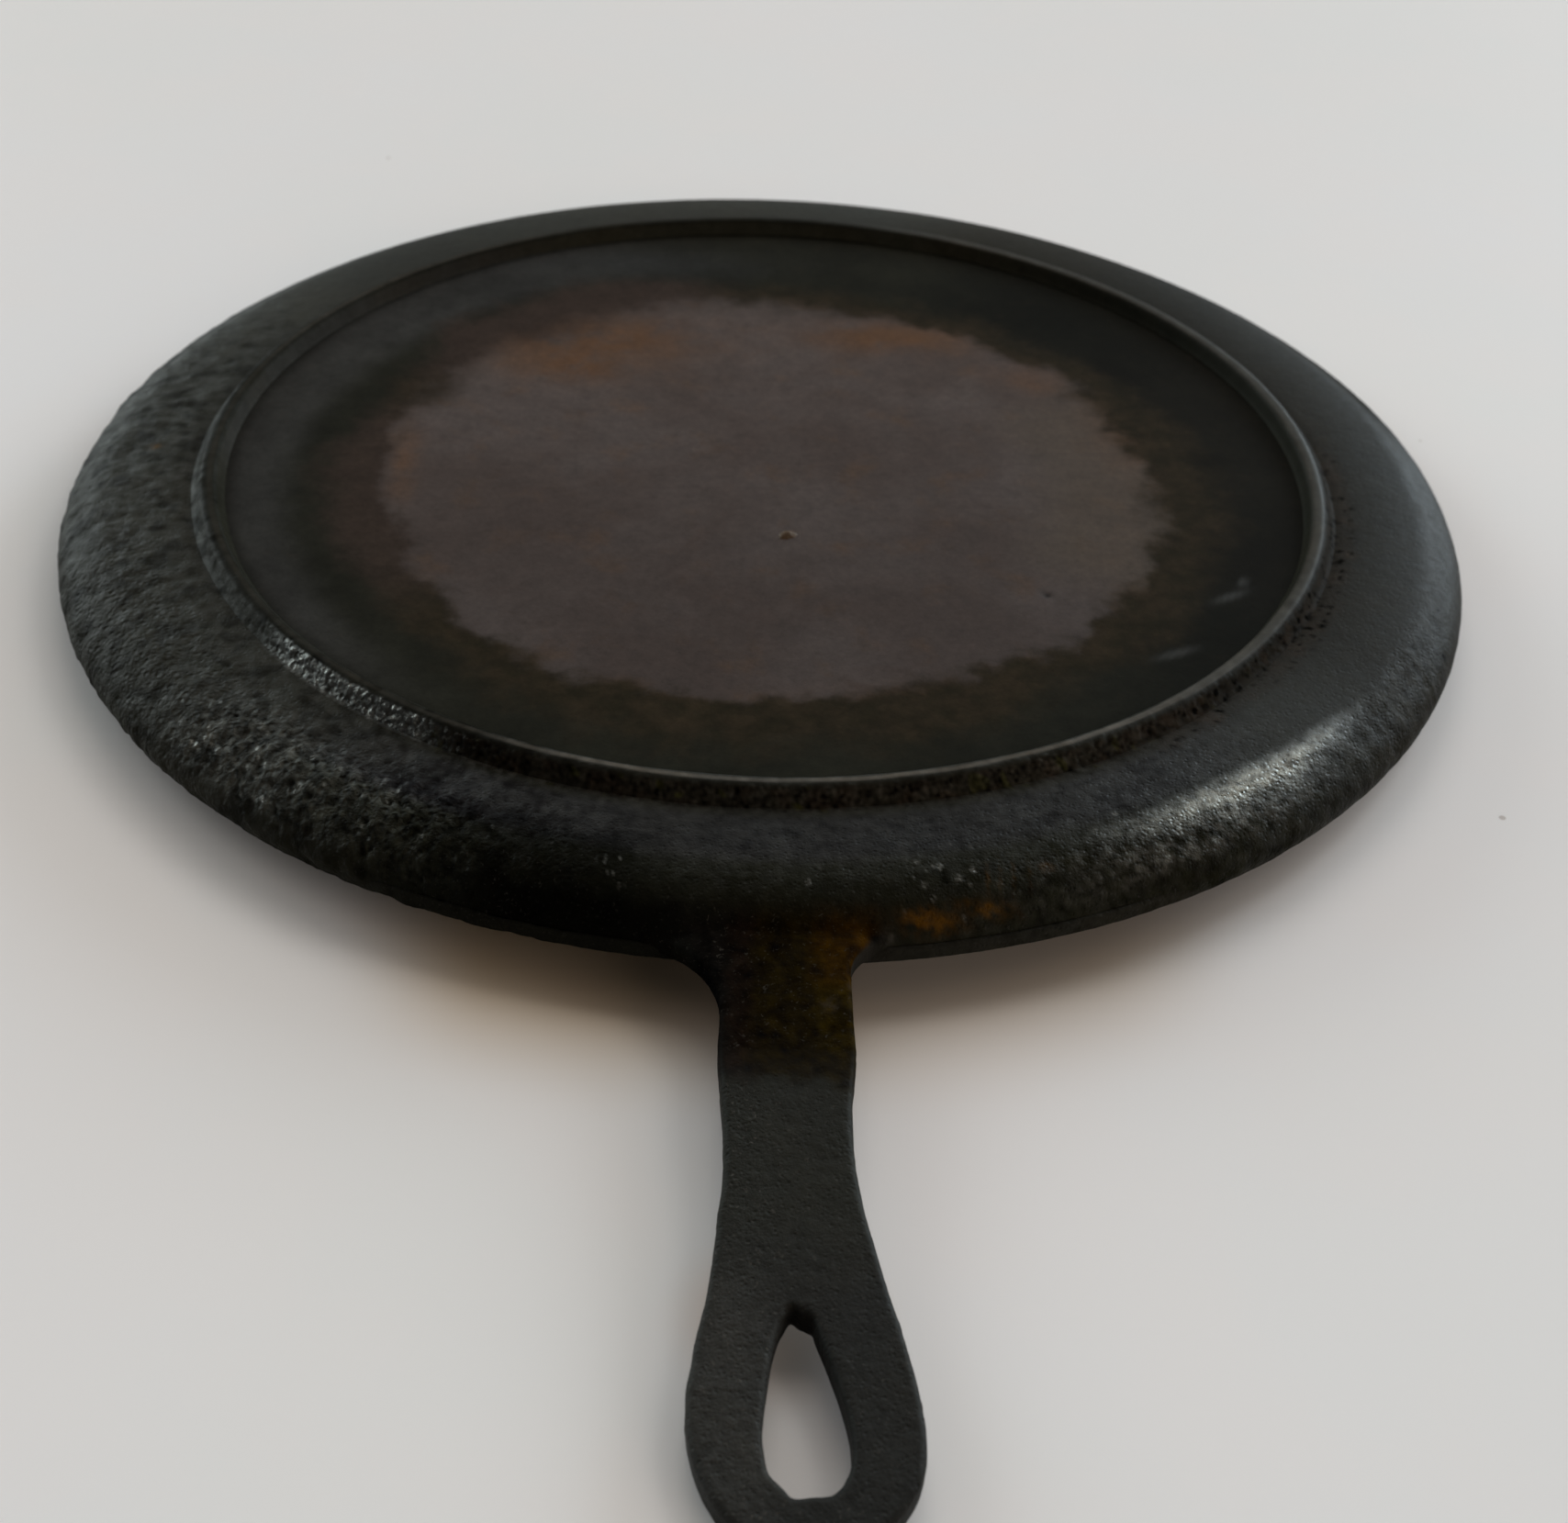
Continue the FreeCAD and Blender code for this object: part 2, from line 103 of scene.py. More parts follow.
def noise(pos, size, seed):
    """Gradient noise about -1..1 with features of the given size (a number or one per axis)."""
    scaled = pos / np.asarray(size, float)
    cell = np.floor(scaled).astype(np.int64)
    local = scaled - cell
    ease = local * local * local * (local * (local * 6 - 15) + 10)
    total = np.zeros(len(pos))
    for corner in product((0, 1), repeat=3):
        weight = np.where(corner, ease, 1 - ease).prod(1)
        slopes = thirds(hash_cell(*(cell + corner).T, seed)).T / 511.5 - 1
        total += weight * (slopes * (local - corner)).sum(1)
    return total * 1.35


def fbm(pos, size, seed, octaves=3):
    """Noise summed over octaves, each half as strong as the one before."""
    size = np.asarray(size, float)
    total = sum(0.5 ** k * noise(pos + 17.3 * k, size / 2.03 ** k, seed + 31 * k)
                for k in range(octaves))
    return total / sum(0.5 ** k for k in range(octaves))


def cells(pos, cell, density, small, large, seed):
    """Round spots, small..large in radius: 0 outside, up to 1 at a spot's middle."""
    home = np.floor(pos / cell).astype(np.int64)
    best = np.zeros(len(pos))
    for shift in product((-1, 0, 1), repeat=3):
        index = home + shift
        centre = (index + thirds(hash_cell(*index.T, seed)).T / 1023.0) * cell
        chance, spread, strength = thirds(hash_cell(*index.T, seed + 101)) / 1023.0
        reach = small + (large - small) * spread
        dome = 1 - ((centre - pos) ** 2).sum(1) / (reach * reach)
        dome = np.where((chance < density) & (dome > 0), dome, 0)
        best = np.maximum(best, dome * (0.55 + 0.45 * strength))
    return best


def step(start, end, x):
    """Soft step from 0 at start to 1 at end; start may be the larger."""
    t = np.clip((x - start) / (end - start), 0, 1)
    return t * t * (3 - 2 * t)


def hump(x, rise, full, fade, gone):
    """0 below rise, 1 from full to fade, 0 above gone."""
    return step(rise, full, x) * (1 - step(fade, gone, x))


def bell(x):
    return np.exp(-x * x)


def blob(pos, centre, reach):
    """1 at the centre, falling softly to 0 at about the reach (one per axis)."""
    offset = (pos - np.asarray(centre, float)) / np.asarray(reach, float)
    return np.exp(-2.2 * (offset * offset).sum(1))


def plan_blob(x, y, mid_x, mid_y, reach_x, reach_y=None, lean=0.0):
    """A blob seen from above, the same at every height, its axes turned by lean."""
    dx, dy = x - mid_x, y - mid_y
    across = dx * math.cos(lean) + dy * math.sin(lean)
    up = dy * math.cos(lean) - dx * math.sin(lean)
    return np.exp(-2.2 * ((across / reach_x) ** 2 + (up / (reach_y or reach_x)) ** 2))


def plan_blobs(x, y, table):
    return sum(plan_blob(x, y, *row) for row in table)


def soft_max(a, b, width):
    t = np.clip(0.5 + 0.5 * (a - b) / width, 0, 1)
    return b + (a - b) * t + width * t * (1 - t)


def mix(first, second, amount):
    first, second = np.asarray(first), np.asarray(second)
    return first + (second - first) * amount[:, None]


# ================================================================ curves
def circle(centre, radius, angles):
    return np.stack([centre[0] + radius * np.cos(angles), centre[1] + radius * np.sin(angles)], 1)


def arc(start, end, radius, side, count):
    """Arc between two points; side 1 turns counter-clockwise, -1 clockwise."""
    dx, dy = end[0] - start[0], end[1] - start[1]
    half = math.hypot(dx, dy) / 2
    off = math.sqrt(radius * radius - half * half) * side
    centre = ((start[0] + end[0]) / 2 - dy / (2 * half) * off,
              (start[1] + end[1]) / 2 + dx / (2 * half) * off)
    first, last = (math.atan2(p[1] - centre[1], p[0] - centre[0]) for p in (start, end))
    if side * (last - first) < 0:
        last += side * 2 * math.pi
    return circle(centre, radius, np.linspace(first, last, count))


def resample(points, spacing):
    """Points along a polyline at about the given spacing, ends kept."""
    points = np.asarray(points, float)
    travel = np.concatenate([[0], np.cumsum(np.hypot(*(points[1:] - points[:-1]).T))])
    count = max(2, int(round(travel[-1] / spacing)) + 1)
    t = np.linspace(0, travel[-1], count)
    return np.stack([np.interp(t, travel, points[:, 0]), np.interp(t, travel, points[:, 1])], 1)


def closed(loop):
    return np.concatenate([loop, loop[:1]])


def catmull(points, per):
    """Smooth curve through the points, leaving out the first and the last."""
    spans = []
    for a, b, c, d in zip(points, points[1:], points[2:], points[3:]):
        t = np.linspace(0, 1, per, endpoint=False)[:, None]
        spans.append(0.5 * (2 * b + (c - a) * t + (2 * a - 5 * b + 4 * c - d) * t ** 2
                            + (3 * b - a - 3 * c + d) * t ** 3))
    return np.concatenate(spans)


# profile of the wall, as (radius, z)
SHOULDER = (122.4 * UNIT, Z_TOP)
KNEE = (139.5 * UNIT, 11.0 * UNIT)
FOOT = (149.0 * UNIT, Z_RIM)
outer_curve = np.concatenate([arc(FOOT, KNEE, 13.5 * UNIT, 1, 60),
                              arc(KNEE, SHOULDER, 74.0 * UNIT, 1, 60)[1:]])[::-1]
inner_curve = arc((132.0 * UNIT, Z_COOK), (145.4 * UNIT, Z_RIM), 19.9 * UNIT, -1, 60)


def wall_z(radius):
    """Height of the pan's outer skin; falls steeply past the rim."""
    radii = np.concatenate([outer_curve[:, 0], [149.6 * UNIT, 150.6 * UNIT, 200.0 * UNIT]])
    return np.interp(radius, radii, np.concatenate([outer_curve[:, 1], [2.0 * UNIT, -6.0, -40.0]]))


def cook_z(radius):
    """Height of the inner skin."""
    radii = np.concatenate([[0.0], inner_curve[:, 0], [146.0 * UNIT, 148.5 * UNIT]])
    return np.interp(radius, radii, np.concatenate([[Z_COOK], inner_curve[:, 1], [0.3, 0.0]]))


# ================================================================ places on the pan
def polar(pos):
    """x, y, z, the radius and the azimuth in degrees in three ranges.

    East is 0, far 90, west 180 and the handle -90 or 270. azim runs from -90 to 270,
    turn from 90 to 450 and east from -180 to 180.
    """
    x, y, z = pos.T
    radius = np.hypot(x, y) / UNIT
    azim = np.degrees(np.arctan2(y, x))
    azim = np.where(azim < -90, azim + 360, azim)
    turn = np.where(azim < 90, azim + 360, azim)
    east = np.where(azim > 180, azim - 360, azim)
    return x, y, z, radius, azim, turn, east


def unrolled(azim, radius, z, lean=0.0):
    """The wall laid flat, for streaks that follow it or run across it."""
    return np.stack([np.radians(azim) * 130.0 + lean * radius, radius, z], 1)


def west_side(azim):
    return hump(azim, 138, 165, 246, 262)


def deep_pits(azim, radius):
    """The crowded pits of the near left wall."""
    return hump(azim, 214, 226, 243, 252) * hump(radius, 129.0, 137.0, 147.5, 149.5)


# radius of the worn patch on the base, every 20 degrees from east
PATCH_STEP = 20
PATCH_RADII = [84, 83, 84, 84, 84, 86, 86, 84, 83, 81, 79, 82, 83, 82, 81, 82, 83, 83, 84]


def patch_depth(pos):
    """Distance in from the ragged edge of the worn patch, positive inside."""
    x, y = pos[:, 0], pos[:, 1] + 9.0
    angle = np.mod(np.arctan2(y, x), 2 * math.pi)
    edge = np.interp(angle, np.radians(np.arange(0, 361, PATCH_STEP)),
                     np.array(PATCH_RADII, float) * UNIT)
    flat = pos * [1, 1, 0]
    edge += 4.5 * noise(flat, 17.0, 163) + 2.6 * noise(flat, 7.0, 167) + 1.5 * noise(flat, 3.2, 173)
    return edge - np.hypot(x, y)


# ================================================================ how the skin wanders
# Each skin returns its height over the ideal surface in mm, and the fine grain used for colour:
# painted light on raised grain, painted shade in pits and hollows, and bare metal in scratches.
SCRATCHES = [  # x, y, direction in degrees, length
    (26.5, -137.5, 62, 5.0), (29.5, -139.0, 70, 4.2), (31.5, -136.5, 66, 3.8),
    (35.0, -140.0, 75, 3.6), (6.0, -143.5, 40, 2.6), (-3.0, -142.8, 55, 2.4),
    (20.5, -144.0, 80, 3.0), (38.0, -133.0, 58, 3.4),
]
DENTS = [  # on the flat of the base: x, y, radius, depth
    (55.3, -51.8, 1.3, 0.35), (-31.0, -22.0, 0.8, 0.12), (44.0, 12.0, 0.7, 0.10),
    (-52.0, 31.0, 0.9, 0.12),
]


def slow_wave(pos):
    return 0.16 * fbm(pos, 46, 3, 2)


def rim_skin(pos):
    x, y, z, radius, azim, turn, east = polar(pos)
    west = west_side(azim)
    on_wall = step(123.5, 126.5, radius)
    edge = step(142.0, 147.5, radius)
    # lumps and flakes on the rough west side
    lump = fbm(pos, (9.0, 9.0, 7.0), 11, 3)
    flake = noise(pos, (4.2, 4.2, 3.6), 17)
    height = slow_wave(pos) + west * on_wall * (0.55 * lump + 0.22 * flake)
    # uneven outline, most at the near right and the far left
    uneven = 0.08 + 0.16 * west + 0.05 * hump(east, -76, -66, -34, -24)
    near_right = 0.10 * hump(east, -74, -66, -36, -26) * cells(pos, 4.2, 0.5, 0.9, 2.0, 29)
    far_left = 0.60 * hump(azim, 146, 154, 174, 184) * cells(pos, 6.5, 0.6, 1.4, 3.2, 37)
    height += edge * (uneven * noise(pos, 4.4, 23) + near_right + far_left)
    # short raised dashes that run outwards, west
    dash_zone = hump(azim, 164, 172, 203, 214) * hump(radius, 121.5, 125.0, 137.0, 143.0)
    dash = fbm(unrolled(azim, radius, z, lean=0.25), (2.3, 7.5, 6.0), 41, 2)
    height += dash_zone * 0.34 * dash + west * on_wall * 0.12 * noise(pos, 1.9, 43)
    # pits: deep and crowded at the near left, fewer elsewhere
    deep = deep_pits(azim, radius)
    more = hump(azim, 186, 205, 250, 262) * step(124, 132, radius)
    sparse = cells(pos, 3.1, 0.25, 0.8, 1.7, 53)
    small = cells(pos, 2.1, 0.55, 0.6, 1.2, 59)
    large = cells(pos, 3.6, 0.45, 1.0, 2.0, 61)
    height -= west * on_wall * 0.20 * sparse + more * (0.20 * small + 0.14 * large)
    height -= deep * (0.46 * small + 0.40 * large + 0.25 * sparse)
    height += deep * (0.26 * noise(pos, 1.9, 67) + 0.20 * noise(pos, 3.1, 68))
    # a few pits at the right edge
    right = hump(east, -46, -40, -27, -20) * hump(radius, 141.0, 144.0, 149.2, 150.5)
    height -= right * (0.24 * cells(pos, 3.4, 0.36, 0.7, 1.5, 71) + 0.10 * small)
    height += right * 0.07 * noise(pos, 1.8, 72)
    # faint mottling of the smooth side
    mottle = 0.035 * fbm(pos, 5.0, 73, 2) + 0.02 * noise(pos, 2.0, 79)
    height += (1 - west) * on_wall * mottle
    # streaks that follow the curve, over the near wall
    near = hump(turn, 232, 248, 320, 334) * on_wall * (1 - edge)
    streak = fbm(unrolled(turn - 360, radius, z), (7.0, 0.9, 4.0), 83, 2)
    height += near * 0.055 * streak
    fine = near * streak + west * (0.5 * lump - 0.8 * sparse)
    fine -= more * small * 0.8 + deep * large + right * 0.8 * small
    # the knob and the small notch beside the root, east
    height += 0.85 * blob(pos, (17.4, -147.7, 4.2), (1.3, 1.2, 2.2))
    height -= 0.55 * blob(pos, (15.2, -148.0, 4.6), (1.0, 1.0, 1.8))
    # thin short furrows near the root, each with a burr beside it
    for mid_x, mid_y, angle, length in SCRATCHES:
        cos, sin = math.cos(math.radians(angle)), math.sin(math.radians(angle))
        down = (x - mid_x) * cos + (y - mid_y) * sin
        across = (y - mid_y) * cos - (x - mid_x) * sin + 0.25 * np.sin(down * 1.7 + mid_x)
        within = step(length / 2, length / 2 - 0.8, np.abs(down)) * (z > 4)
        cut = bell(across / 0.34) * within
        height += 0.10 * bell((across - 0.7) / 0.35) * within - 0.16 * cut
        fine += 0.6 * cut
    return height, fine


def foot_grit(pos, strength):
    """The coarse granular band at the foot of the heat ring."""
    radius, turn = polar(pos)[3], polar(pos)[5]
    band = hump(radius, 119.0, 119.8, 121.5, 122.6) * strength
    crowd = band * (0.25 + 0.75 * hump(turn, 205, 220, 322, 336))
    grit = cells(pos, 1.25, 0.62, 0.42, 0.95, 89)
    hollows = cells(pos, 2.0, 0.4, 0.6, 1.25, 97)
    height = crowd * (1 - 0.55 * hump(turn, 296, 306, 352, 372)) * 0.26 * (grit - hollows)
    bead = cells(pos, 1.15, 0.8, 0.45, 0.75, 104)
    height += band * hump(turn, 214, 221, 241, 250) * (
        0.14 * noise(pos, 2.4, 103) + 0.24 * bead + 0.12 * noise(pos, 1.0, 105))
    # worn double line on the west side
    height -= 0.22 * bell((radius - 122.9) / 0.5) * hump(turn, 172, 178, 200, 212)
    height -= 0.30 * bell((radius - 116.75) / 0.35) * hump(turn, 166, 174, 222, 236)
    return height, crowd * (1.1 * grit - 1.2 * hollows)


def wall_skin(pos):
    height, fine = rim_skin(pos)
    grit, grit_fine = foot_grit(pos, 0.4)
    radius, east = polar(pos)[3], polar(pos)[6]
    # the wall swells to the rim, except beside the root
    swell = 1.05 * (1 - hump(east, -122, -114, -67, -59)) * step(143.0, 149.0, radius)
    return height + swell + grit, fine + grit_fine


def ring_skin(pos):
    grit, fine = foot_grit(pos, 1.0)
    height = 0.9 * (slow_wave(pos) + grit)
    return height + 0.05 * noise(pos, 3.4, 107) + 0.10 * noise(pos, 21.0, 109), fine


def plate_skin(pos):
    worn = patch_depth(pos)
    scale = cells(pos, 6.0, 0.35, 1.2, 3.0, 113)
    height = 0.10 * fbm(pos, 40, 3, 2) + 0.03 * fbm(pos, 9.0, 127, 2)
    height += 0.012 * scale * step(-14, -2, worn) - 0.035 * step(-1.5, 1.5, worn)
    # low oval blister near the front of the worn patch
    oval = np.hypot((pos[:, 0] - 20.5) / 6.8, (pos[:, 1] + 81.0) / 3.6)
    height += 0.12 * bell((oval - 1) / 0.16)
    for x, y, radius, depth in DENTS:
        height -= depth * blob(pos, (x, y, Z_TOP), (radius, radius, 9.0))
    height -= 0.05 * cells(pos, 5.0, 0.18, 0.5, 1.1, 131)
    return height, -blob(pos, (*DENTS[0][:2], Z_TOP), (1.5, 1.5, 9.0))


def handle_skin(pos):
    sand = cells(pos, 1.7, 0.5, 0.45, 0.95, 137)
    pock = cells(pos, 2.6, 0.4, 0.6, 1.3, 139)
    out = step(-148.5, -152.0, pos[:, 1])
    rough = 0.10 * fbm(pos, 30, 141, 2) + 0.085 * sand - 0.11 * pock
    rough += 0.045 * noise(pos, 1.9, 149) + 0.05 * noise(pos, 5.5, 151)
    return slow_wave(pos) * (1 - out) + out * rough, out * (sand - pock) * 0.9


SKINS = {"wall": wall_skin, "rim": rim_skin, "ring": ring_skin}


# ================================================================ colour and finish, per vertex
TONE = 0.55      # how dark the seasoning is
COLOUR = {
    # the seasoned body, with painted sheen, glints, highlight and crease shade among its colours
    "bare": (0.0205, 0.0212, 0.0166),
    "low wall": (0.0150, 0.0162, 0.0096),
    "painted front sheen": (0.0205, 0.0212, 0.0225),
    "root crease shade": (0.0060, 0.0058, 0.0048),
    "painted grain glints": (0.085, 0.085, 0.076),
    "painted glints": (0.060, 0.060, 0.054),
    "knob": (0.085, 0.082, 0.074),
    "foot brown": (0.0215, 0.0165, 0.0115),
    "foot green": (0.030, 0.031, 0.010),
    "right foot": (0.044, 0.033, 0.023),
    "black spots": (0.004, 0.004, 0.003),
    "chips": (0.004, 0.004, 0.004),
    "rust": (0.125, 0.058, 0.004),
    "rim left": (0.0165, 0.0170, 0.0130),
    "rim right": (0.031, 0.031, 0.027),
    # the root's stain, with its painted shade and light, as they end up after TONE
    "maroon": (0.0066, 0.0040, 0.0025),
    "olive": (0.0085, 0.0056, 0.0006),
    "outer orange": (0.0175, 0.0115, 0.0006),
    "inner orange": (0.0260, 0.0125, 0.0008),
    "root west shade": (0.0040, 0.0038, 0.0034),
    "mauve": (0.030, 0.026, 0.026),
    "shaded west side": (0.0020, 0.0020, 0.0022),
    "lit east side": (0.020, 0.020, 0.018),
    # handle and ring, with painted highlight, light and glints on the ring
    "handle": (0.0250, 0.0256, 0.0212),
    "crest near": (0.130, 0.118, 0.100),
    "crest right": (0.078, 0.076, 0.066),
    "ring inside": (0.0255, 0.0260, 0.0195),
    "painted bead glints": (0.062, 0.073, 0.084),
    # the base outside its worn patch, as it ends up
    "base": (0.0112, 0.0112, 0.0078),
    "base right": (0.0140, 0.0126, 0.0090),
    "base left": (0.0265, 0.0262, 0.0246),
    "base far": (0.0245, 0.0215, 0.0185),
    "base edge": (0.0065, 0.0064, 0.0045),
    "nub": (0.068, 0.045, 0.028),
}
PAINTED_GLINT_SPOTS = [  # x, y, reach
    (3.0, -143.5, 9.0), (31.0, -137.5, 9.0), (24.0, -141.0, 8.0), (-28.0, -137.5, 4.5),
    (60.0, -126.0, 9.0), (77.0, -123.0, 8.0),
]
PIT_CROWDS = [  # x, y, reach
    (-113.0, -84.0, 7.0), (-105.0, -97.0, 8.0), (-93.0, -105.0, 9.0), (-83.0, -113.0, 6.0),
    (-121.0, -72.0, 6.0), (-71.0, -120.0, 6.0), (-92.0, -114.0, 7.0),
]
RUST_SPOTS = [  # strength, centre, reach
    (1.4, (25.5, -145.3, 6.5), (6.6, 2.3, 3.4)), (0.75, (35.0, -142.3, 6.8), (7.0, 1.8, 2.8)),
    (0.9, (45.7, -134.8, 9.6), (1.4, 1.1, 2.0)), (0.55, (-132.0, 2.0, 12.0), (2.0, 1.6, 3.0)),
]
RUST_SPOTS += [(0.28, (x, -137.6 + 0.12 * (x - 36), 9.6), (0.42, 4.2, 3.4))
               for x in (35.2, 37.4, 39.8, 42.6)]


class Look:
    """Colour, roughness, gloss, grain and pitting of the iron at each point."""

    def __init__(self, pos, fine):
        count = len(pos)
        self.pos, self.fine, self.place = pos, fine, polar(pos)
        self.broad = fbm(pos, 24, 211, 3)
        self.medium = fbm(pos, 7.0, 223, 3)
        self.small = noise(pos, 2.6, 227)
        self.colour = np.tile(COLOUR["bare"], (count, 1))
        self.rough = np.full(count, 0.52)
        self.gloss = np.full(count, 0.055)
        self.grain = np.full(count, 0.5)
        self.pitted = np.zeros(count)
        self.stain = np.zeros(count)

    def noise(self, size, seed):
        return noise(self.pos, size, seed)

    def paint(self, colour, amount):
        """Covers with a colour (a name, or one per point) by the amount 0..1."""
        if isinstance(colour, str):
            colour = COLOUR[colour]
        self.colour = mix(self.colour, colour, amount)

    def lift(self, amount):
        """Brightens the colour by a share; negative darkens."""
        self.colour = self.colour * (1 + amount)[:, None]

    def shine(self, amount):
        """Raises the gloss by a share; negative dulls."""
        self.gloss = self.gloss * (1 + amount)


def body_tone(look):
    """Ground colour: satin on the right, rougher on the left, darker low down."""
    x, y, z, radius, azim, turn, east = look.place
    west = west_side(azim)
    look.lift(0.18 * look.broad + 0.10 * look.medium)
    look.near = near = hump(turn, 225, 245, 300, 318)
    look.low = low = step(134.8, 138.4, radius + 1.2 * look.noise(4.0, 361)) * near
    look.paint("low wall", 0.80 * low)
    look.shine(-0.30 * low)
    look.rough += 0.05 * west + 0.04 * look.medium
    look.edge = edge = hump(east, -84, -72, -30, -16) * step(138.0, 143.0, radius)
    look.grain += 0.45 * west - 0.15 * hump(east, -60, -40, 60, 90)
    look.grain += 0.45 * near * step(124.0, 127.0, radius) + 0.6 * edge
    blot = look.noise(2.0, 311) + 0.7 * look.noise(4.5, 313)
    look.lift(edge * 0.55 * blot)
    look.lift(0.22 * near * blot)
    # painted sheen: the upper band of the near wall tinted bluish for the reflection of the back
    # light
    look.paint("painted front sheen", near * hump(radius, 123.5, 126.0, 133.5, 137.5))
    # painted shade: almost black in the crease where the wall meets the rim, left of the root
    dark = hump(turn, 246, 252, 262, 266) * step(-155, -149, y)
    dark *= hump(radius + 1.8 * look.noise(4.0, 321), 143.2, 146.2, 152.0, 153.0)
    dark = np.clip(dark * (1.0 + 0.4 * look.medium), 0, 1)
    look.paint("root crease shade", 0.90 * dark)
    look.shine(-0.60 * dark)


def shoulder_shine(look):
    """The polished shoulder at the near right, with glossy grains outside it that are also painted
    lighter as painted glints.
    """
    x, y, z, radius, azim, turn, east = look.place
    around = (east + 52.0 + 1.6 * look.noise(6.0, 315)) / np.where(east < -52.0, 10.0, 8.5)
    across = radius - 139.9 - 0.06 * (east + 55.0) + 0.7 * look.noise(4.0, 317)
    core, halo = bell(across / 2.3), bell(across / np.where(across > 0, 5.0, 2.6))
    shine = np.clip(bell(around) * (1.25 * core + 0.16 * halo) - 0.06, 0, 2)
    grains = bell((east + 58.0) / 10.0) * hump(radius, 140.5, 143.0, 146.6, 148.6)
    grains *= np.clip(0.35 + 1.3 * look.noise(1.2, 365) + 0.7 * look.noise(2.6, 367), 0, 1)
    # painted glints: the grains outside the shoulder painted lighter
    look.paint("painted grain glints", 0.8 * grains)
    scuff = fbm(unrolled(azim, radius, z), (2.4, 1.0, 4.0), 231, 2)
    look.rough -= np.clip(shine, 0, 1) * (0.27 - 0.14 * scuff)
    broken = np.clip(0.85 + 1.3 * scuff + 0.5 * look.noise(1.1, 335), 0, 1.3)
    look.gloss += 0.30 * grains + shine * broken


def body_shades(look):
    """Broad lighter and darker areas round the pan, and the mottled gloss; the lighter far side is
    painted light and the darker near left is painted shade.
    """
    x, y, z, radius, azim, turn, east = look.place
    west, near = west_side(azim), look.near
    right = hump(east, -46, -30, 60, 80)
    look.shine(-0.52 * right)
    look.shine(-0.85 * hump(east, 2, 16, 66, 88) * step(138.0, 145.0, radius))
    look.lift(0.58 * hump(turn, 125, 150, 225, 240))
    look.colour = look.colour * (1 - right[:, None] * [0.0, 0.12, 0.22])
    # painted light: the far side lighter
    look.lift(0.52 * hump(azim, 45, 72, 112, 135))
    # painted shade on the near left wall
    shade = hump(turn, 238, 246, 257, 264)
    shade *= step(130.0, 134.5, radius + 1.5 * look.noise(5.0, 363))
    look.lift(-0.50 * shade)
    look.shine(-0.7 * shade)
    spots = west * step(0.08, 0.42, look.noise(5.2, 371) + 0.5 * look.noise(2.4, 373))
    look.lift(-0.42 * spots)
    look.shine(-0.45 * spots)
    look.shine(0.6 * near * (1 - look.low) * np.clip(look.fine, -1, 1))
    mottle = look.noise(1.6, 331) + 0.8 * look.noise(3.4, 333)
    look.gloss = look.gloss * np.clip(1 + 0.9 * mottle * (near + west + look.edge), 0.1, 3)


def body_marks(look):
    """Painted glints, stains, chips and rust."""
    x, y, z, radius, azim, turn, east = look.place
    pos = look.pos
    streaked = np.stack([(0.45 * x + 0.89 * y) * 0.42, 0.89 * x - 0.45 * y, 0.4 * z], 1)
    # small glossy specks, also painted lighter as painted glints
    glint_paint = np.clip(plan_blobs(x, y, PAINTED_GLINT_SPOTS), 0, 1) * step(3.6, 5.0, z)
    glint_paint *= step(0.15, 0.5, cells(streaked, 1.5, 0.75, 0.22, 0.50, 305))
    look.paint("painted glints", 0.8 * glint_paint)
    look.gloss += 0.45 * glint_paint
    look.rough -= 0.16 * glint_paint
    # painted highlight: the knob painted lighter
    knob = blob(pos, (17.6, -147.4, 4.6), (2.0, 1.8, 2.6))
    look.paint("knob", knob * np.clip(0.6 + 1.2 * look.noise(1.1, 369), 0, 1))
    # brown stain at the ring's foot on the near side, with greenish specks
    foot = hump(radius, 119.2, 120.3, 122.2, 124.0) * hump(turn, 228, 244, 300, 324)
    look.paint("foot brown", foot * (0.35 + 0.55 * step(-0.15, 0.35, look.noise(4.0, 229))))
    look.paint("foot green", foot * step(0.30, 0.52, look.noise(3.0, 233)))
    gravel = np.clip(1.0 + 1.3 * look.noise(0.9, 337) + 0.8 * look.noise(1.8, 339), 0.05, 2.4)
    look.lift(foot * (gravel - 1))
    look.shine(foot * (gravel - 1))
    # the stain goes on to the right, with black spots
    right_foot = hump(radius + 1.2 * look.noise(3.0, 341), 119.4, 120.4, 124.4, 127.6)
    right_foot *= hump(east, -66, -48, -4, 14)
    look.paint("right foot", right_foot * (0.25 + 0.60 * step(-0.1, 0.4, look.medium)))
    dots = step(0.25, 0.55, cells(pos, 1.9, 0.58, 0.5, 1.15, 235))
    smears = 0.8 * step(0.15, 0.6, look.noise(1.7, 343)) * hump(radius, 119.4, 120.6, 122.2, 123.6)
    black = right_foot * np.maximum(dots, smears)
    look.paint("black spots", black)
    look.shine(-0.92 * black)
    look.shine(-0.30 * right_foot)
    # dark chips in the right edge
    chips = hump(east, -46, -38, -22, -12) * hump(radius, 141.0, 144.0, 149.4, 150.5)
    chips *= step(0.25, 0.6, cells(pos, 4.0, 0.28, 0.6, 1.4, 345))
    look.paint("chips", 0.9 * chips)
    look.shine(-0.9 * chips)
    # rust beside the root, east, in thin streaks further on, and a spot in the west
    rust = sum(strength * blob(pos, centre, reach) for strength, centre, reach in RUST_SPOTS)
    broken = 0.75 + 0.6 * look.small + 0.4 * look.medium + 1.5 * look.noise(1.3, 347)
    rust = np.clip(rust * broken, 0, 1)
    look.paint("rust", rust)
    look.rough += 0.1 * rust


